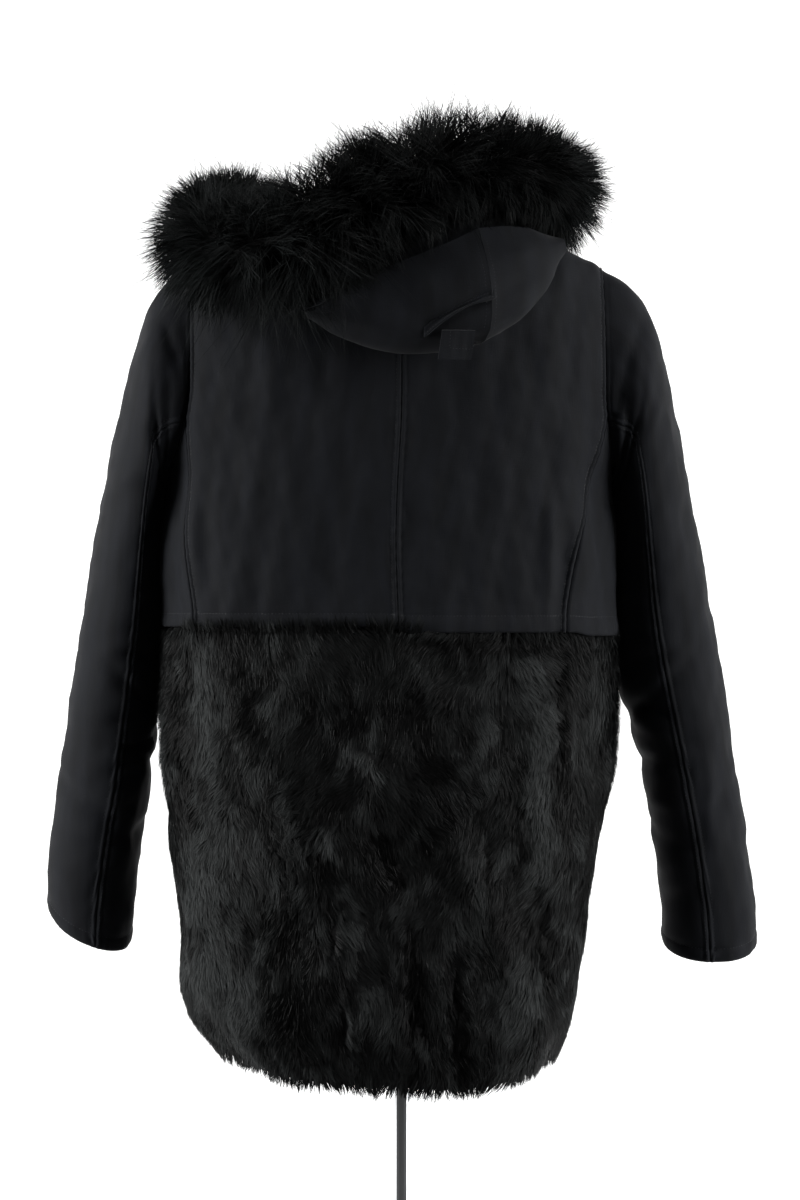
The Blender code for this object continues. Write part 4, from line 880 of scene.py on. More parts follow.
def cloth_of(name, node, creases):
    """A softer copy of a folded solid: merged, in quads, subdivided and creased."""
    bpy.ops.object.select_all(action="DESELECT")
    copy = bpy.data.objects.new(name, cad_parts[node].data.copy())
    bpy.context.scene.collection.objects.link(copy)
    bpy.context.view_layer.objects.active = copy
    copy.select_set(True)
    bpy.ops.object.mode_set(mode="EDIT")
    bpy.ops.mesh.select_all(action="SELECT")
    bpy.ops.mesh.customdata_custom_splitnormals_clear()
    bpy.ops.mesh.remove_doubles(threshold=0.00002)
    bpy.ops.mesh.tris_convert_to_quads(face_threshold=1.2, shape_threshold=1.2)
    bpy.ops.mesh.faces_shade_smooth()
    bpy.ops.mesh.select_all(action="DESELECT")
    bpy.ops.mesh.edges_select_sharp(sharpness=1.0)
    bpy.ops.transform.edge_crease(value=1.0)
    bpy.ops.object.mode_set(mode="OBJECT")
    smoothing = copy.modifiers.new("soft", "SUBSURF")
    smoothing.levels = 2
    smoothing.render_levels = 2
    bpy.ops.object.modifier_apply(modifier="soft")
    mesh = copy.data
    points, normal = read_vectors(mesh, "co"), read_vectors(mesh, "normal")
    outside = normal[:, 1] < 0.2
    lift = 1.5 * crease_relief(points, creases, HOOD_DEPTH, 1.0)
    lift += 0.0007 * ripple(points[:, 0], points[:, 2] + points[:, 1], 0.07, 4.0)
    lift *= smooth_step(0.0, 0.007, distance_to_rim(mesh, points))
    away = np.where(outside[:, None], normal, -normal)
    points += away * lift[:, None]
    mesh.vertices.foreach_set("co", points.astype(np.float32).ravel())
    mesh.update()
    uv = mesh.uv_layers.new(name="cloth").uv
    corner = np.empty(len(mesh.loops), np.int32)
    mesh.loops.foreach_get("vertex_index", corner)
    flat = points[corner][:, [0, 2]] + points[corner][:, [1]] * 0.5
    uv.foreach_set("vector", flat.astype(np.float32).ravel())
    mesh.materials.clear()
    mesh.materials.append(canvas)
    bpy.ops.object.shade_smooth_by_angle(angle=0.9)
    return copy


hoods = []
for word, flat, area in (("left", (0.28, 0.34), 0.072), ("right", (0.20, 0.30), 0.043)):
    hood = cloth_of("cloth_hood_" + word, "hood_" + word, HOOD_CREASES)
    sewn_on(hood, "hood_" + word)
    hoods.append(hood)
strap = cloth_of("cloth_hood_strap", "hood_strap", ())
sewn_on(strap, "hood_strap")

# The hood's own sewing: a tape behind the centre seam with a row of stitches on each side, the
# lip of the strap's tunnel with two rows, a bar tack above it and the strap's stitched hem.
bpy.context.view_layer.update()


def on_cloth(pieces, x, y):
    """Where a line of sight from behind, through a photo pixel, meets the nearest piece."""
    across, up = on_photo(x, y, HOOD_DEPTH)
    met = []
    for piece in pieces:
        hit, point, normal, _ = piece.ray_cast(Vector((across, -1.0, up)), Vector((0, 1, 0)))
        if hit:
            met.append((point.y, tuple(point), tuple(normal if normal.y < 0 else -normal)))
    return min(met)[1:] if met else None


def sewn_line(pieces, corners, count):
    """A line over pieces through photo pixels, as points and facings."""
    corners = np.array(corners, float)
    along = running_length(corners)
    at = np.linspace(0, along[-1], count)
    pixels = zip(np.interp(at, along, corners[:, 0]), np.interp(at, along, corners[:, 1]))
    line = [found for found in (on_cloth(pieces, x, y) for x, y in pixels) if found]
    return np.array([place for place, _ in line]), np.array([facing for _, facing in line])


HOOD_SEAM = ((478, 240), (480, 250), (482, 262), (485, 275), (487, 305), (486, 325), (484, 335))
sides = [
    sewn_line([hood], [(x + aside, y) for x, y in HOOD_SEAM], 60)
    for hood, aside in zip(hoods, (-5, 5))
]
count = min(len(side[0]) for side in sides)
low_side, high_side = sides[0][0][:count], sides[1][0][:count]
facing = unit(sides[0][1][:count] + sides[1][1][:count])
TAPE_BEHIND = 0.0004
across = np.linspace(0.12, 0.88, 7)[None, :, None]
grid = low_side[:, None] * (1 - across) + high_side[:, None] * across
grid = grid - TAPE_BEHIND * facing[:, None]
tape = grid_object("cloth_hood_seam_tape", grid, canvas, np.repeat(facing[:, None], 7, 1))
rows = [stitches(*side, *STITCH) for side in sides]
MOUTH = np.array([(420, 340), (434, 329), (450, 320), (466, 312), (480, 306), (490, 302)], float)
LIP_WIDTH, LIP_LIFT, LIP_RISE = 9, 0.0006, 0.0062  # pixels, then metres at its root and its edge
lines = [sewn_line(hoods, MOUTH - (0, LIP_WIDTH * (1 - share)), 60) for share in np.linspace(0, 1, 9)]
count = min(len(places) for places, _ in lines)
share = np.linspace(0, 1, 9)[:, None, None]
ends = np.sin(np.pi * np.linspace(0.02, 0.98, count))[None, :, None] ** 0.5
grid = np.stack([places[:count] for places, _ in lines])
facing = np.stack([facings[:count] for _, facings in lines])
for _ in range(40):
    for values in (grid, facing):
        values[:, 1:-1] += 0.4 * (values[:, 2:] + values[:, :-2] - 2 * values[:, 1:-1])
facing = unit(facing)
grid = grid + facing * (LIP_LIFT + LIP_RISE * share**1.6 * ends)
lip = grid_object("cloth_hood_tunnel_lip", grid, canvas, facing, CANVAS_WALL)
for row in (1, 6):
    rows.append(stitches(grid[row], facing[row], *STITCH))
hem = ((446, 334), (472, 334), (471, 353), (445, 352), (446, 334))
rows.append(stitches(*sewn_line([strap], hem, 90), 0.0033, 0.0025, 0.0009, 0.0005))
for step in range(7):
    tack = ((468 + 1.5 * step, 300 - 0.8 * step), (472 + 1.5 * step, 307 - 0.8 * step))
    rows.append(stitches(*sewn_line(hoods, tack, 12), 0.0016, 0.0016, 0.0010, 0.0007))
hood_stitching = joined("hood_topstitching", rows, thread)
for piece in (tape, lip, hood_stitching):
    sewn_on(piece)

# ---------------------------------------------------------------- the fur skirt
# From the waist to the hem the coat is short-haired black pelt, pieced from small skins. The
# skins are soft leather, and their hair lies down and swirls from one skin to the next.
FUR_RINGS = np.array(
    [  # height, left, right, back, front
        (0.5950, -0.152, 0.138, 0.100, 0.112),
        (0.6180, -0.178, 0.160, 0.112, 0.124),
        (0.6450, -0.202, 0.176, 0.123, 0.136),
        (0.6690, -0.219, 0.184, 0.129, 0.143),
        (0.6950, -0.228, 0.188, 0.133, 0.148),
        (0.7845, -0.237, 0.203, 0.137, 0.154),
        (0.8475, -0.245, 0.214, 0.139, 0.158),
        (0.9105, -0.250, 0.222, 0.138, 0.160),
        (0.9600, -0.254, 0.229, 0.135, 0.160),
        (1.0155, -0.253, 0.233, 0.130, 0.158),
        (1.0600, -0.250, 0.229, 0.124, 0.154),
        (1.0840, -0.247, 0.227, 0.118, 0.149),
    ]
)
SKINS = (  # angle, height, which way the hair leans in degrees, how much it stands
    (-50, 1.04, 14, 1.15),
    (-34, 0.98, -22, 0.85),
    (-18, 1.05, 25, 0.70),
    (-4, 0.99, -10, 1.00),
    (12, 1.04, -34, 1.20),
    (27, 0.98, 20, 0.80),
    (42, 1.03, 30, 1.25),
    (-52, 0.90, -30, 1.20),
    (-36, 0.88, 30, 0.90),
    (-22, 0.90, -42, 1.25),
    (-8, 0.86, 18, 0.70),
    (8, 0.91, 44, 1.10),
    (24, 0.87, -26, 0.90),
    (40, 0.90, -12, 1.25),
    (-48, 0.78, 24, 1.25),
    (-30, 0.77, -14, 1.10),
    (-12, 0.76, 36, 0.90),
    (6, 0.78, -30, 1.15),
    (22, 0.75, 26, 0.80),
    (39, 0.77, -34, 1.15),
    (-40, 0.67, -20, 1.20),
    (-20, 0.66, 20, 1.00),
    (2, 0.66, -12, 0.90),
    (20, 0.67, 14, 1.15),
    (37, 0.68, -24, 1.10),
    (-76, 1.02, -24, 1.10),
    (-72, 0.88, 22, 1.20),
    (-80, 0.74, -28, 0.90),
    (-98, 0.94, 26, 0.85),
    (70, 1.03, -20, 1.20),
    (64, 0.90, 26, 0.90),
    (72, 0.77, -18, 1.10),
    (60, 0.67, 30, 1.00),
    (94, 0.92, 16, 0.85),
    (-125, 1.02, -26, 1.10),
    (-118, 0.84, 28, 0.90),
    (-122, 0.69, -16, 1.15),
    (-150, 0.97, 22, 0.80),
    (-146, 0.78, -32, 1.10),
    (-168, 0.88, 14, 1.20),
    (-165, 0.70, -20, 0.90),
    (118, 1.01, 24, 0.90),
    (124, 0.83, -28, 1.15),
    (119, 0.68, 18, 1.00),
    (146, 0.94, -18, 1.10),
    (150, 0.75, 30, 0.85),
    (170, 1.02, -24, 1.00),
    (168, 0.84, 20, 1.20),
    (172, 0.68, -14, 0.95),
)
# Each patch raises or sinks the skin, and also paints the hair lighter as painted sheen where it rises
# and darker as painted shade where it sinks.
FUR_PATCHES = (  # x, y on the photo, half width and half height in pixels, rise in mm
    (202, 888, 22, 58, 4.0),
    (243, 1006, 26, 54, 4.5),
    (196, 985, 16, 36, 4.0),
    (526, 668, 20, 18, 4.5),
    (527, 1010, 18, 48, 4.5),
    (478, 1000, 18, 60, 1.2),
    (492, 720, 16, 60, 1.4),
    (280, 716, 14, 24, 1.6),
    (235, 800, 14, 60, 0.8),
    (372, 1010, 24, 50, 0.8),
    (614, 717, 14, 28, 2.0),
    (572, 930, 14, 90, 1.2),
    (184, 706, 9, 38, -3.0),
    (187, 782, 10, 24, -3.0),
    (336, 708, 26, 22, -3.0),
    (404, 708, 22, 18, -4.5),
    (332, 806, 22, 18, -3.0),
    (456, 889, 12, 17, -3.0),
    (519, 926, 18, 30, -4.0),
    (546, 898, 11, 11, -4.0),
    (527, 810, 9, 12, -3.0),
    (290, 1016, 22, 34, -4.5),
    (334, 984, 16, 17, -3.0),
    (293, 938, 20, 20, -3.0),
    (191, 946, 8, 22, -3.0),
    (580, 810, 17, 30, -3.0),
    (440, 800, 22, 50, -1.5),
    (250, 690, 18, 30, -1.5),
)
# Each streak raises or sinks the skin, and also paints the hair lighter as painted sheen or darker as
# painted shade.
FUR_STREAKS = (  # x, y to x, y on the photo, width and rise in mm: above 0 bright, below dark
    (195, 640, 220, 786, 11, 7.0),
    (159, 684, 170, 812, 6, 5.0),
    (540, 680, 548, 912, 14, 6.5),
    (338, 740, 384, 778, 6, 5.0),
    (322, 818, 342, 876, 6, 3.0),
    (372, 700, 382, 728, 4, 3.0),
    (354, 818, 404, 894, 13, -6.0),
    (414, 912, 414, 1084, 9, -5.5),
    (454, 944, 465, 1086, 7, -5.5),
    (569, 640, 568, 800, 6, -6.0),
    (557, 900, 559, 1034, 6, -5.0),
    (328, 896, 331, 968, 4, -4.0),
    (339, 1006, 342, 1044, 4, -4.0),
    # This dark line is a painted shadow under the canvas edge, besides a small dip in the skin.
    (400, 640, 604, 643, 7, -6.0),
    (240, 650, 268, 760, 7, -2.5),
    (430, 700, 422, 790, 8, -2.5),
    (225, 900, 262, 960, 8, -2.0),
    (500, 820, 486, 900, 8, -2.5),
)
CURLS = ((292, 845, 30, 60),)  # x, y on the photo, half width and half height in pixels
FUR_DEPTH = -0.13
SKIRT_MIDDLE = np.array([0.0, BODY_Y, 0.85])
SKIRT_PER_DEGREE = 0.0035
SKIRT_LENGTH = 0.473
TUFT_APART, PATCH_APART = 0.0050, 0.022


def skirt_height(angle, along):
    """The height of a place from 0 at the waist to 1 at the hem, which is not level."""
    turn = np.radians(angle)
    hem = 0.611 - 0.009 * np.sin(turn) * np.cos(turn / 2) ** 2 + 0.030 * np.sin(turn) ** 4
    return WAIST + along * (hem - WAIST)


def near_pixel(points, x, y, half_width, half_height):
    """1 at a photo pixel, and about a third at half the width or the height from it."""
    middle = on_photo(x, y, FUR_DEPTH)
    across = (points[..., 0] - middle[0]) / (half_width * PIXEL)
    along = (points[..., 2] - middle[1]) / (half_height * PIXEL)
    return np.exp(-(across**2) - along**2)


def patch_relief_and_painted_light(points):
    """The photo's fuller and flatter patches of fur and its partings, in metres. The same values raise
    the skin and paint the hair: lighter as painted sheen, darker as painted shade, and a painted
    shadow under the canvas edge.
    """
    total = 0 * points[..., 0]
    x, z = points[..., 0], points[..., 2]
    wander = np.stack([ripple(x, z, 0.030, 8.0), 0 * x, ripple(x, z, 0.034, 11.0)], axis=-1)
    points = points + 0.0038 * wander
    for *patch, rise in FUR_PATCHES:
        total = total + rise / 1000 * near_pixel(points, *patch)
    total = total + crease_relief(points, FUR_STREAKS, FUR_DEPTH, 1.0)
    return total * smooth_step(-0.01, 0.04, -points[..., 1])


def skirt_skin(angle, along):
    """The outside of the skins: under the hair, and tucked in behind the canvas edge."""
    height = skirt_height(angle, along)
    turn = np.radians(angle)
    lumps = 0.0022 * (
        np.sin(9 * turn + 21 * height)
        + np.sin(5 * turn - 34 * height + 1.0)
        + 0.7 * np.sin(14 * turn + 47 * height + 2.0)
    )
    points = ring_point(FUR_RINGS, angle, height)
    lumps = (lumps + 0.6 * patch_relief_and_painted_light(points)) * smooth_step(0, 0.06, WAIST - height)
    depth = 0.0030 + 0.0040 * smooth_step(0.0, 0.12, along)
    return pushed(points, lumps - depth)


def surface_frame(surface, u, v, step_u, step_v, middle):
    """Points of a surface with their outward normals."""
    points = surface(u, v)
    by_u = surface(u + step_u, v) - surface(u - step_u, v)
    by_v = surface(u, v + step_v) - surface(u, v - step_v)
    normal = unit(np.cross(by_u, by_v))
    return points, normal * np.sign(((points - middle) * normal).sum(-1, keepdims=True))


def scattered(surface, low_u, high_u, low_v, high_v, count, rng):
    """Random places on a surface, equally dense everywhere."""
    u = np.linspace(low_u, high_u, 61)
    v = np.linspace(low_v, high_v, 61)
    corners = surface(u[:, None] + 0 * v[None], v[None] + 0 * u[:, None])
    across = corners[1:, :-1] - corners[:-1, :-1]
    along = corners[:-1, 1:] - corners[:-1, :-1]
    area = np.linalg.norm(np.cross(across, along), axis=-1).ravel()
    cell = rng.choice(len(area), count, p=area / area.sum())
    i, j = np.divmod(cell, 60)
    return (
        u[0] + (i + rng.random(count)) * (u[1] - u[0]),
        v[0] + (j + rng.random(count)) * (v[1] - v[0]),
    )


def mixed(i, j, salt):
    """The same random number from 0 to 1 for the same whole numbers."""
    i, j = i.astype(np.int64), j.astype(np.int64)
    value = (i * 73856093) ^ (j * 19349663) ^ (salt * 83492791)
    value = (value ^ (value >> 13)) * 1274126177
    return ((value ^ (value >> 16)) & 0xFFFFFF) / 0x1000000


def tufts_of(u, v, size_u, size_v, spacing):
    """The middle of the tuft that each hair belongs to, and four random numbers of it."""
    a, b = u * size_u / spacing, v * size_v / spacing
    best = np.full(len(u), 1e9)
    cell = np.zeros((2, len(u)))
    middle = np.zeros((2, len(u)))
    for di in (-1, 0, 1):
        for dj in (-1, 0, 1):
            i, j = np.floor(a) + di, np.floor(b) + dj
            ca, cb = i + 0.15 + 0.7 * mixed(i, j, 1), j + 0.15 + 0.7 * mixed(i, j, 2)
            away = (ca - a) ** 2 + (cb - b) ** 2
            nearer = away < best
            best = np.where(nearer, away, best)
            cell = np.where(nearer, np.stack([i, j]), cell)
            middle = np.where(nearer, np.stack([ca, cb]), middle)
    chance = [mixed(cell[0], cell[1], salt) for salt in (3, 4, 5, 6)]
    return middle[0] * spacing / size_u, middle[1] * spacing / size_v, chance


def ribbons(name, lines, sides, widths, shade, finish):
    """Hairs as flat ribbons that taper to a point, in one mesh: lines is hairs by points."""
    hairs, count = lines.shape[:2]
    half = sides * widths[None, :-1, None] / 2
    body = np.stack([lines[:, :-1] - half, lines[:, :-1] + half], axis=2)
    points = np.concatenate([body.reshape(hairs, -1, 3), lines[:, -1:]], axis=1)
    own = []
    for k in range(count - 2):
        own += [[2 * k, 2 * k + 1, 2 * k + 3], [2 * k, 2 * k + 3, 2 * k + 2]]
    last = 2 * (count - 2)
    own.append([last, last + 1, last + 2])
    per_hair = 2 * count - 1
    faces = np.array(own)[None] + per_hair * np.arange(hairs)[:, None, None]
    obj = mesh_object(name, points.reshape(-1, 3), faces.reshape(-1, 3), finish)
    along = np.concatenate([np.repeat(np.linspace(0, 1, count)[:-1], 2), [1.0]])
    # Each hair carries how far along it each point lies and its shade value, which holds tone, painted
    # sheen and painted shade.
    for label, values in (
        ("along_hair", np.tile(along, hairs)),
        ("hair_shade", np.repeat(shade, per_hair)),
    ):
        attribute = obj.data.attributes.new(label, "FLOAT", "POINT")
        attribute.data.foreach_set("value", values.astype(np.float32))
    return obj


def hair_material(name, root, tip, roughness, gloss):
    """Black dyed fur: black at the skin and painted lighter towards each hair's tip as a painted
    highlight, as far as the hair's shade value says, which holds painted sheen and shade and some
    random tone.
    """
    made = new_material(name)
    along = add(made, "Attribute", attribute_name="along_hair")
    shade = add(made, "Attribute", attribute_name="hair_shade")
    rising = add(made, "Math", {0: (along, "Fac"), 1: 0.5}, operation="POWER")
    mix = add(made, "Math", {0: (rising, 0), 1: (shade, "Fac")}, operation="MULTIPLY")
    tone = add(made, "Mix", {0: (mix, 0), 6: srgb(root), 7: srgb(tip)}, data_type="RGBA")
    rough = add(
        made, "MapRange", {"Value": (shade, "Fac"), "To Min": roughness, "To Max": roughness + 0.14}
    )
    hair = add(
        made,
        "BsdfPrincipled",
        {
            "Base Color": (tone, 2),
            "Roughness": (rough, "Result"),
            "Specular IOR Level": gloss,
        },
    )
    add(made, "OutputMaterial", {"Surface": (hair, "BSDF")})
    return made


# The light tip colour is a painted highlight.
short_hair = hair_material("dyed_short_hair_painted_sheen", "020202", "303232", 0.46, 0.045)
pelt = new_material("dyed_pelt_leather")
place = add(pelt, "TexCoord")
grain = add(pelt, "TexNoise", {"Vector": (place, "Object"), "Scale": 240.0, "Detail": 5.0})
tone = add(pelt, "Mix", {0: (grain, "Fac"), 6: srgb("040404"), 7: srgb("0b0b0c")}, data_type="RGBA")
relief = add(pelt, "Bump", {"Height": (grain, "Fac"), "Strength": 0.6, "Distance": 0.0012})
leather = add(
    pelt,
    "BsdfPrincipled",
    {
        "Base Color": (tone, 2),
        "Roughness": 0.75,
        "Specular IOR Level": 0.10,
        "Normal": (relief, "Normal"),
    },
)
add(pelt, "OutputMaterial", {"Surface": (leather, "BSDF")})


def skin_lean(angle, height):
    """How the hair leans and stands at a place: mostly as on the nearest skin."""
    table = np.array(SKINS, float)
    apart = (angle[:, None] - table[None, :, 0] + 180) % 360 - 180
    apart = np.hypot(apart * SKIRT_PER_DEGREE, height[:, None] - table[None, :, 1])
    weight = np.exp(-((apart - apart.min(axis=1, keepdims=True)) / 0.006))
    weight /= weight.sum(axis=1, keepdims=True)
    return weight @ table[:, 2], weight @ table[:, 3]


def hair_flow(angle, height, points):
    """Which way the hair leans in degrees and how much it stands: by skin, with swirls."""
    lean, stand = skin_lean(angle, height)
    across = angle * SKIRT_PER_DEGREE
    lean = 0.9 * lean + 14 * ripple(across, height, 0.055, 3.0)
    curly = 0 * lean
    for curl in CURLS:
        curly += near_pixel(points, *curl)
    curly = np.minimum(curly, 1) * smooth_step(-0.01, 0.04, -points[:, 1])
    lean = lean + 45 * curly * ripple(across, height, 0.016, 9.0)
    stand = stand * (1 + 0.20 * ripple(across, height, 0.040, 6.0) + 0.6 * curly)
    return lean, stand


def skirt_hair(name, start, end, count, segments, length, widths, seed):
    """Hairs of one or two segments that lie down on a skin, in tufts about 5 mm apart."""
    rng = np.random.default_rng(seed)
    angle, along = scattered(skirt_skin, start, end, 0.002, 1.0, count, rng)
    tufts = tufts_of(angle, along, SKIRT_PER_DEGREE, SKIRT_LENGTH, TUFT_APART)
    tuft_angle, tuft_along, chance = tufts[0], np.clip(tufts[1], 0, 1), tufts[2]
    swirl = ripple(tuft_angle * SKIRT_PER_DEGREE, tuft_along * SKIRT_LENGTH, 0.045, 4.0)
    patch = tufts_of(
        tuft_angle + 2.4 * swirl,
        tuft_along - 0.016 * swirl,
        SKIRT_PER_DEGREE * 1.25,
        SKIRT_LENGTH * 0.75,
        PATCH_APART,
    )[2]

    def rooted(at_angle, at_along):
        """Places on the skin, with the directions out of it, down it and across it."""
        height = skirt_height(at_angle, at_along)
        middle = np.stack([0 * height, BODY_Y + 0 * height, height], axis=-1)
        points, normal = surface_frame(skirt_skin, at_angle, at_along, 0.5, 0.004, middle)
        down = unit(normal * normal[:, 2:] - np.array([0.0, 0.0, 1.0]))
        return points, normal, down, unit(np.cross(normal, down))

    root, normal, down, aside = rooted(angle, along)
    centre = rooted(tuft_angle, tuft_along)
    height = skirt_height(tuft_angle, tuft_along)
    lean, stand = hair_flow(tuft_angle, height, centre[0])
    lean = np.radians(lean + 12 * (chance[0] - 0.5) + 26 * (patch[1] - 0.5))
    bend = np.radians(18 * (chance[1] - 0.5))
    length = length * (0.85 + 0.30 * chance[2]) * (1 + 0.30 * smooth_step(0.94, 1.0, along))
    at_side = smooth_step(58, 80, np.abs(angle)) * (1 - smooth_step(100, 125, np.abs(angle)))
    at_side = at_side * smooth_step(0.90, 0.96, skirt_height(angle, along))
    at_waist = 1 - smooth_step(0.0, 0.03, along)
    lift = np.radians(7.5 * stand + 3 * (chance[3] - 0.5) + 22 * at_side + 10 * at_waist)
    over_edge = (angle < -10) & (angle > -62) | (np.abs(angle + 1) < 7)
    over_edge = over_edge & (along < 0.020) & (rng.random(count) < 0.55)
    lean = np.where(over_edge, lean * 0.6 + np.pi, lean)
    lift = np.where(over_edge, lift + np.radians(24), lift)
    root = root + normal * np.where(over_edge, 0.0045, 0.0)[:, None]

    def grown(base, normal, down, aside, lean, bend, lift, length):
        points = [base]
        for k in range(segments):
            turn = lean + bend * k
            ahead = down * np.cos(turn)[:, None] + aside * np.sin(turn)[:, None]
            rise = lift * (1.0 if segments == 1 else 1.45 - k)
            step = ahead * np.cos(rise)[:, None] + normal * np.sin(rise)[:, None]
            points.append(points[-1] + step * (length / segments)[:, None])
        return np.stack(points, axis=1)

    noise = rng.normal(0, 1, (4, count))
    own_lean, own_bend = lean + 0.08 * noise[0], bend + 0.10 * noise[1]
    own_lift, own_length = lift * (1 + 0.15 * noise[2]), length * (1 + 0.12 * noise[3])
    lines = grown(root, normal, down, aside, own_lean, own_bend, own_lift, own_length)
    tuft = grown(*centre, lean, bend, lift, length)
    draw = 0.22 * np.linspace(0, 1, segments + 1)[None, :, None]
    lines = lines + draw * (tuft - lines) * ~over_edge[:, None, None]
    roll = rng.normal(0, 0.28, count)[:, None]
    forward = unit(lines[:, 1] - root)
    side = unit(np.cross(forward, normal))
    side = side * np.cos(roll) + np.cross(forward, side) * np.sin(roll)
    sides = np.repeat(side[:, None], segments, axis=1)
    # The shade value of each hair: painted sheen where it is lighter and painted shade where it is
    # darker, from the patches and streaks and from random patches, over a random tone.
    painted_sheen_and_shade = patch_relief_and_painted_light(root) / 0.0034 + 0.35 * ripple(angle * 0.008, root[:, 2], 0.060, 2.0)
    painted_sheen_and_shade = painted_sheen_and_shade + 1.0 * patch[0] ** 1.6 - 0.45
    tone = 0.17 + 0.03 * chance[3] + 0.03 * rng.random(count)
    shade = np.clip(tone * (1 + np.clip(painted_sheen_and_shade, -0.95, 0)) + 0.85 * np.clip(painted_sheen_and_shade, 0, 1.2), 0, 1)
    return ribbons(name, lines, sides, np.array(widths), shade, short_hair)


PELT_WALL = 0.0022
UNDERHAIR = (1, 0.0120, (0.0010, 0.0))  # segments, length and widths from root to tip
GUARD_HAIR = (2, 0.0140, (0.0006, 0.0007, 0.0))
for name, start, end, width, guard_count, under_count in (
    ("back_left", -55.0, 0.0, 0.200, 14000, 46000),
    ("back_right", 0.0, 48.0, 0.180, 12500, 40000),
    ("side_left", -100.0, -55.0, 0.112, 10000, 32000),
    ("side_right", 48.0, 95.0, 0.122, 10000, 33000),
    ("front_left", -179.95, -100.0, 0.275, 9000, 27000),
    ("front_right", 95.0, 179.95, 0.285, 9000, 27000),
):
    columns = np.linspace(start, end, 26)[:, None]
    along = np.linspace(-0.012, 1, 52)[None, :]
    grid = skirt_skin(columns + 0 * along, along + 0 * columns)
    grid = np.swapaxes(grid, 0, 1)[::-1].copy()
    normal = grid_normals(grid, SKIRT_MIDDLE)
    skin = grid_object("pelt_" + name, grid, pelt, normal, PELT_WALL)
    seed = 500 + int(start)
    under = skirt_hair("hair_under_" + name, start, end, under_count, *UNDERHAIR, seed)
    guard = skirt_hair("hair_guard_" + name, start, end, guard_count, *GUARD_HAIR, seed + 1)
    sewn_on(skin, "fur_" + name)
    sewn_on(under)
    sewn_on(guard)

# ---------------------------------------------------------------- the ruff
# A long strip of long-haired black fur is sewn along the hood's edge. The strip is folded to
# a roll, and its guard hairs stand out from it in tufts that gravity draws down.
RUFF_SECTIONS = np.array(
    [  # x, y, z, radius
        (-0.030, 0.158, 1.425, 0.038),
        (-0.085, 0.138, 1.472, 0.048),
        (-0.145, 0.080, 1.510, 0.055),
        (-0.184, 0.000, 1.508, 0.058),
        (-0.203, -0.082, 1.482, 0.062),
        (-0.175, -0.138, 1.462, 0.064),
        (-0.110, -0.165, 1.475, 0.064),
        (-0.035, -0.165, 1.508, 0.064),
        (0.045, -0.145, 1.540, 0.062),
        (0.112, -0.105, 1.548, 0.061),
        (0.152, -0.040, 1.547, 0.057),
        (0.162, 0.035, 1.534, 0.053),
        (0.132, 0.102, 1.508, 0.051),
        (0.080, 0.140, 1.465, 0.047),
        (0.030, 0.158, 1.425, 0.038),
    ]
)
RUFF_LENGTH = 1.16
RUFF_AROUND = 0.026  # metres of pelt for each radian round the roll
RUFF_TUFTS_APART = 0.0095


def ruff_line(along):
    """The roll's middle and radius, and its directions across, up and ahead.

    Along runs from 0 to 1, from the left end to the right end.
    """
    slopes = np.gradient(RUFF_SECTIONS, axis=0)
    place = np.clip(along, 0, 1) * (len(RUFF_SECTIONS) - 1)
    i = np.clip(place.astype(int), 0, len(RUFF_SECTIONS) - 2)
    t = (place - i)[..., None]
    start, end = RUFF_SECTIONS[i], RUFF_SECTIONS[i + 1]
    read = curve(start, end, slopes[i], slopes[i + 1], t)
    ahead = (
        6 * (end - start) * t * (1 - t)
        + slopes[i] * (1 - t) * (1 - 3 * t)
        - slopes[i + 1] * t * (2 - 3 * t)
    )[..., :3]
    ahead = unit(ahead)
    across = unit(np.cross(ahead, np.array([0.0, 0.0, 1.0])))
    return read[..., :3], read[..., 3], across, np.cross(across, ahead), ahead


def ruff_skin(turn, along):
    """The rolled strip under the hair, about half as thick as the hair makes it look."""
    middle, radius, across, up, _ = ruff_line(along)
    end = np.minimum(along, 1 - along) / 0.03
    size = 0.46 * radius * np.sqrt(np.clip(1 - (1 - end).clip(0) ** 2, 0.12, 1))
    return middle + (across * np.cos(turn)[..., None] + up * np.sin(turn)[..., None]) * size[..., None]


# The light tip colour is a painted highlight, as on the short hair.
long_hair = hair_material("dyed_long_hair_painted_sheen", "020202", "1c1f1f", 0.52, 0.05)


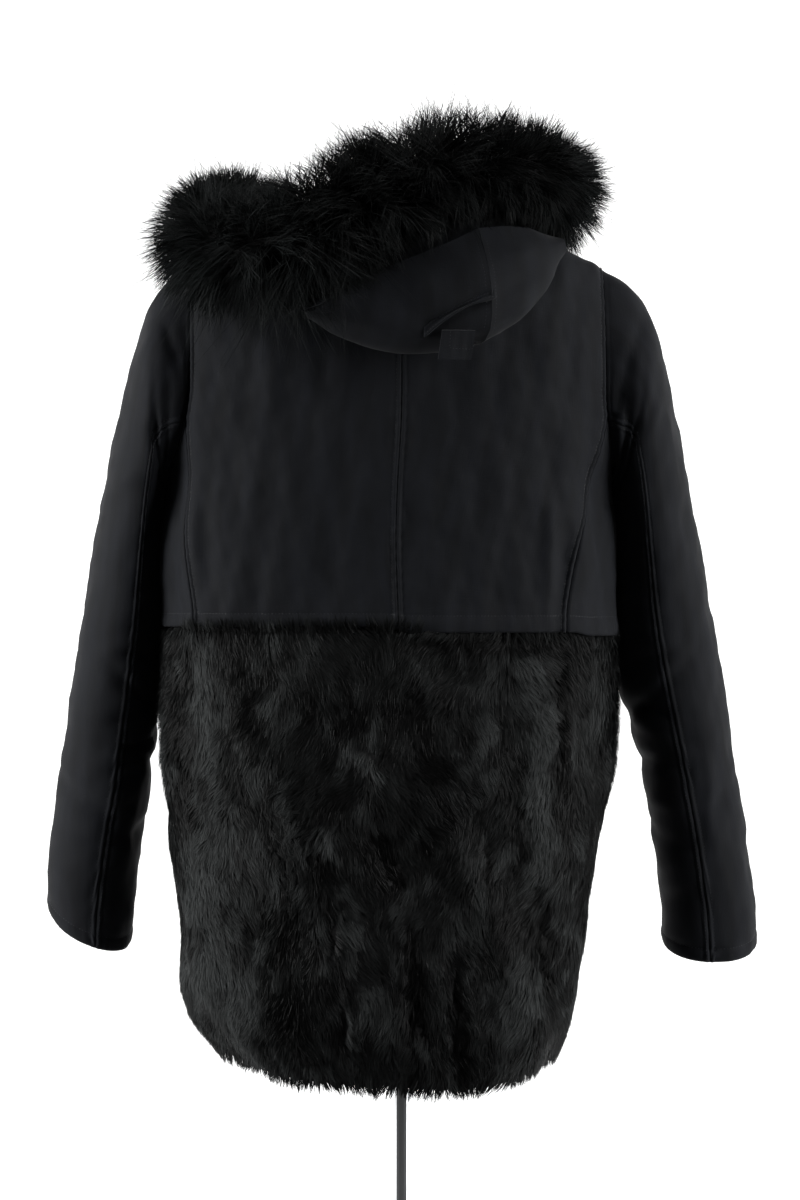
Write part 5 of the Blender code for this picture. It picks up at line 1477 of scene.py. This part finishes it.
def ruff_hair(name, low, high, count, reach, widths, seed):
    """Hairs that stand out from part of the roll in tufts and bend down; reach is in radii."""
    rng = np.random.default_rng(seed)
    turn, along = scattered(ruff_skin, 0, 2 * np.pi, low, high, count, rng)
    tuft_turn, tuft_along, chance = tufts_of(
        turn, along, RUFF_AROUND, RUFF_LENGTH, RUFF_TUFTS_APART
    )

    def rooted(turn, along):
        """Places on the roll, with the directions out of it and along it, and its radius."""
        along = np.clip(along, 0.001, 0.999)
        _, radius, across, up, ahead = ruff_line(along)
        points = ruff_skin(turn, along)
        out = across * np.cos(turn)[:, None] + up * np.sin(turn)[:, None]
        ends = smooth_step(0.97, 1.0, along)[:, None] - smooth_step(0.97, 1.0, 1 - along)[:, None]
        return points, unit(out + 0.9 * ends * ahead), ahead, radius

    root, out, ahead, radius = rooted(turn, along)
    centre, tuft_out, tuft_ahead, _ = rooted(tuft_turn, tuft_along)
    sway = (chance[0] - 0.5) * 1.0
    twist = (chance[1] - 0.5) * 1.0
    upwards = smooth_step(0.2, 0.9, np.sin(turn))
    behind = smooth_step(0.40, 0.46, along) * (1 - smooth_step(0.56, 0.64, along))
    hanging = smooth_step(0.2, 0.9, -out[:, 2]) * smooth_step(0.46, 0.52, along)
    hanging = hanging * (1 - smooth_step(0.66, 0.74, along))
    over_tip = smooth_step(0.36, 0.40, along) * (1 - smooth_step(0.45, 0.49, along))
    over_tip = over_tip * smooth_step(0.3, 0.9, -out[:, 2])
    length = reach * (0.80 + 0.40 * chance[2]) * radius
    length = length * (1 + 0.35 * upwards * behind - 0.45 * hanging + 0.35 * over_tip)
    times = np.linspace(0, 1, len(widths))

    def grown(base, out, ahead, sway, twist, length):
        sideways = np.cross(ahead, out)
        start = unit(out + ahead * sway[:, None] + sideways * twist[:, None])
        down = np.array([0.0, 0.0, -1.0])
        bend = down * 0.22 + ahead * (0.5 * sway)[:, None] + sideways * (0.35 * twist)[:, None]
        t = times[None, :, None]
        return base[:, None] + length[:, None, None] * (start[:, None] * t + bend[:, None] * t**2)

    noise = rng.normal(0, 1, (3, count))
    lines = grown(
        root, out, ahead, sway + 0.2 * noise[0], twist + 0.2 * noise[1], length * (1 + 0.14 * noise[2])
    )
    tuft = grown(centre, tuft_out, tuft_ahead, sway, twist, length)
    draw = 0.30 * times[None, :, None] ** 1.2
    lines = lines + draw * (tuft - lines)
    for side, limit, room in ((-1, 0.236, 0.014), (1, 0.198, 0.012)):  # behind, then in front
        far = np.maximum(side * lines[..., 1] - limit, 0)
        lines[..., 1] -= side * (far - room * (1 - np.exp(-far / room)))
    forward = unit(np.gradient(lines, axis=1))
    side = unit(np.cross(forward, out[:, None]) + 0.35 * rng.normal(0, 1, (count, 1, 3)))
    # The shade value is a random tone, painted lighter where light falls on the roll, over its left
    # hump and its right end, and darker elsewhere: painted highlight and painted shade.
    shade = np.clip(0.15 + 0.35 * chance[3] + 0.2 * rng.random(count), 0, 1)
    lit = smooth_step(0.20, 0.26, along) * (1 - smooth_step(0.40, 0.47, along))
    lit = lit + smooth_step(0.64, 0.70, along)
    shade = shade * (0.55 + 0.75 * lit)
    return ribbons(name, lines, side[:, :-1], np.array(widths), shade, long_hair)


turn = np.linspace(0.35, 2 * np.pi + 0.05, 26)[None, :]
along = np.linspace(0.002, 0.998, 150)[:, None]
grid = ruff_skin(turn + 0 * along, along + 0 * turn)
middle = ruff_line(along[:, 0])[0][:, None]
roll = grid_object("pelt_ruff", grid, pelt, grid_normals(grid, middle), PELT_WALL)
LOCK, WISP = (0.0009, 0.0010, 0.0007, 0), (0.0005, 0.0005, 0.0003, 0)  # widths of a hair
guard = [
    ruff_hair("hair_ruff_left", 0.0, 0.52, 20000, 0.62, LOCK, 7),
    ruff_hair("hair_ruff_right", 0.48, 1.0, 20000, 0.62, LOCK, 8),
    ruff_hair("hair_ruff_wisps", 0.0, 1.0, 6500, 1.0, WISP, 9),
]
sewn_on(roll, "hood_ruff")
for piece in guard:
    sewn_on(piece)

# ---------------------------------------------------------------- the studio
# A white seamless floor that curves up all round and glows evenly. Behind the camera it
# throws back no light, as where a black cloth hangs, though it looks white from every side.
# Two tall softboxes stand to the sides and one hangs overhead.
TOWARDS_CAMERA = (-0.0698, -0.9976, 0.0)
paper = new_material("white_paper")
place = add(paper, "TexCoord")
level = add(
    paper, "VectorMath", {0: (place, "Object"), 1: (1.0, 1.0, 0.0)}, operation="MULTIPLY"
)
heading = add(paper, "VectorMath", {0: (level, 0)}, operation="NORMALIZE")
facing = add(
    paper, "VectorMath", {0: (heading, 0), 1: TOWARDS_CAMERA}, operation="DOT_PRODUCT"
)
dark = add(
    paper,
    "MapRange",
    {"Value": (facing, "Value"), "From Min": 0.15, "From Max": 0.50, "To Min": 0.0, "To Max": 1.0},
)
ray = add(paper, "LightPath")
unseen = add(paper, "Math", {0: 1.0, 1: (ray, "Is Camera Ray")}, operation="SUBTRACT")
dark = add(paper, "Math", {0: (dark, "Result"), 1: (unseen, 0)}, operation="MULTIPLY")
glow = add(paper, "MapRange", {"Value": (dark, 0), "To Min": 0.62, "To Max": 0.0})
shade = add(paper, "MapRange", {"Value": (dark, 0), "To Min": 0.86, "To Max": 0.05})
backdrop = add(
    paper,
    "BsdfPrincipled",
    {
        "Base Color": (shade, "Result"),
        "Roughness": 0.9,
        "Specular IOR Level": 0.0,
        "Emission Color": srgb("ffffff"),
        "Emission Strength": (glow, "Result"),
    },
)
add(paper, "OutputMaterial", {"Surface": (backdrop, "BSDF")})
turn = np.linspace(0, 2 * np.pi, 97)[None, :]
bend = [(12 + 4 * math.sin(t), 4 - 4 * math.cos(t)) for t in np.linspace(0.1, math.pi / 2, 12)]
profile = np.array([(0.0, 0.0), (6.0, 0.0), (12.0, 0.0), *bend, (16.0, 14.0)])[:, :, None]
grid = np.stack(
    [profile[:, 0] * np.cos(turn), profile[:, 0] * np.sin(turn), profile[:, 1] + 0 * turn], axis=-1
)
floor = grid_object("floor", grid, paper, np.array([0.0, 0.0, 1.0]) + 0 * grid)
floor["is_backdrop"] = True

world = bpy.data.worlds.new("studio")
bpy.context.scene.world = world
world.use_nodes = True
world.node_tree.nodes["Background"].inputs["Color"].default_value = (1.0, 1.0, 1.0, 1.0)
world.node_tree.nodes["Background"].inputs["Strength"].default_value = 0.45


def softbox(name, location, width, height, power):
    """A soft lamp that is turned to the middle of the coat."""
    lamp = bpy.data.lights.new(name, "AREA")
    lamp.shape = "RECTANGLE"
    lamp.size, lamp.size_y, lamp.energy = width, height, power
    obj = bpy.data.objects.new(name, lamp)
    obj.location = location
    aim = Vector((0.0, 0.0, 1.05)) - Vector(location)
    obj.rotation_euler = aim.to_track_quat("-Z", "Y").to_euler()
    bpy.context.scene.collection.objects.link(obj)


softbox("softbox_left", (-3.9, -1.0, 2.0), 1.8, 2.4, 340)
softbox("softbox_right", (3.6, -1.6, 2.0), 1.8, 2.4, 250)
softbox("softbox_top", (0.0, -0.8, 4.2), 2.0, 1.2, 50)

# The camera stands where the photo's scale and its view past the two sides put it.
HALF_PICTURE = 0.63  # metres at the pole, for half the photo's height
SENSOR = 36.0
camera = bpy.data.cameras.new("camera")
camera.sensor_width = SENSOR
camera.lens = SENSOR / 2 / (HALF_PICTURE / VIEW_DISTANCE)
camera.shift_x = -1 / 1200
viewer = bpy.data.objects.new("camera", camera)
aside, back = VIEW_DISTANCE * math.sin(VIEW_TURN), VIEW_DISTANCE * math.cos(VIEW_TURN)
viewer.location = (-aside, -back, VIEW_HEIGHT)
viewer.rotation_euler = (math.pi / 2, 0.0, -VIEW_TURN)
bpy.context.scene.collection.objects.link(viewer)
bpy.context.scene.camera = viewer
bpy.context.scene.view_settings.view_transform = "Standard"

bpy.context.view_layer.update()
low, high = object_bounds()
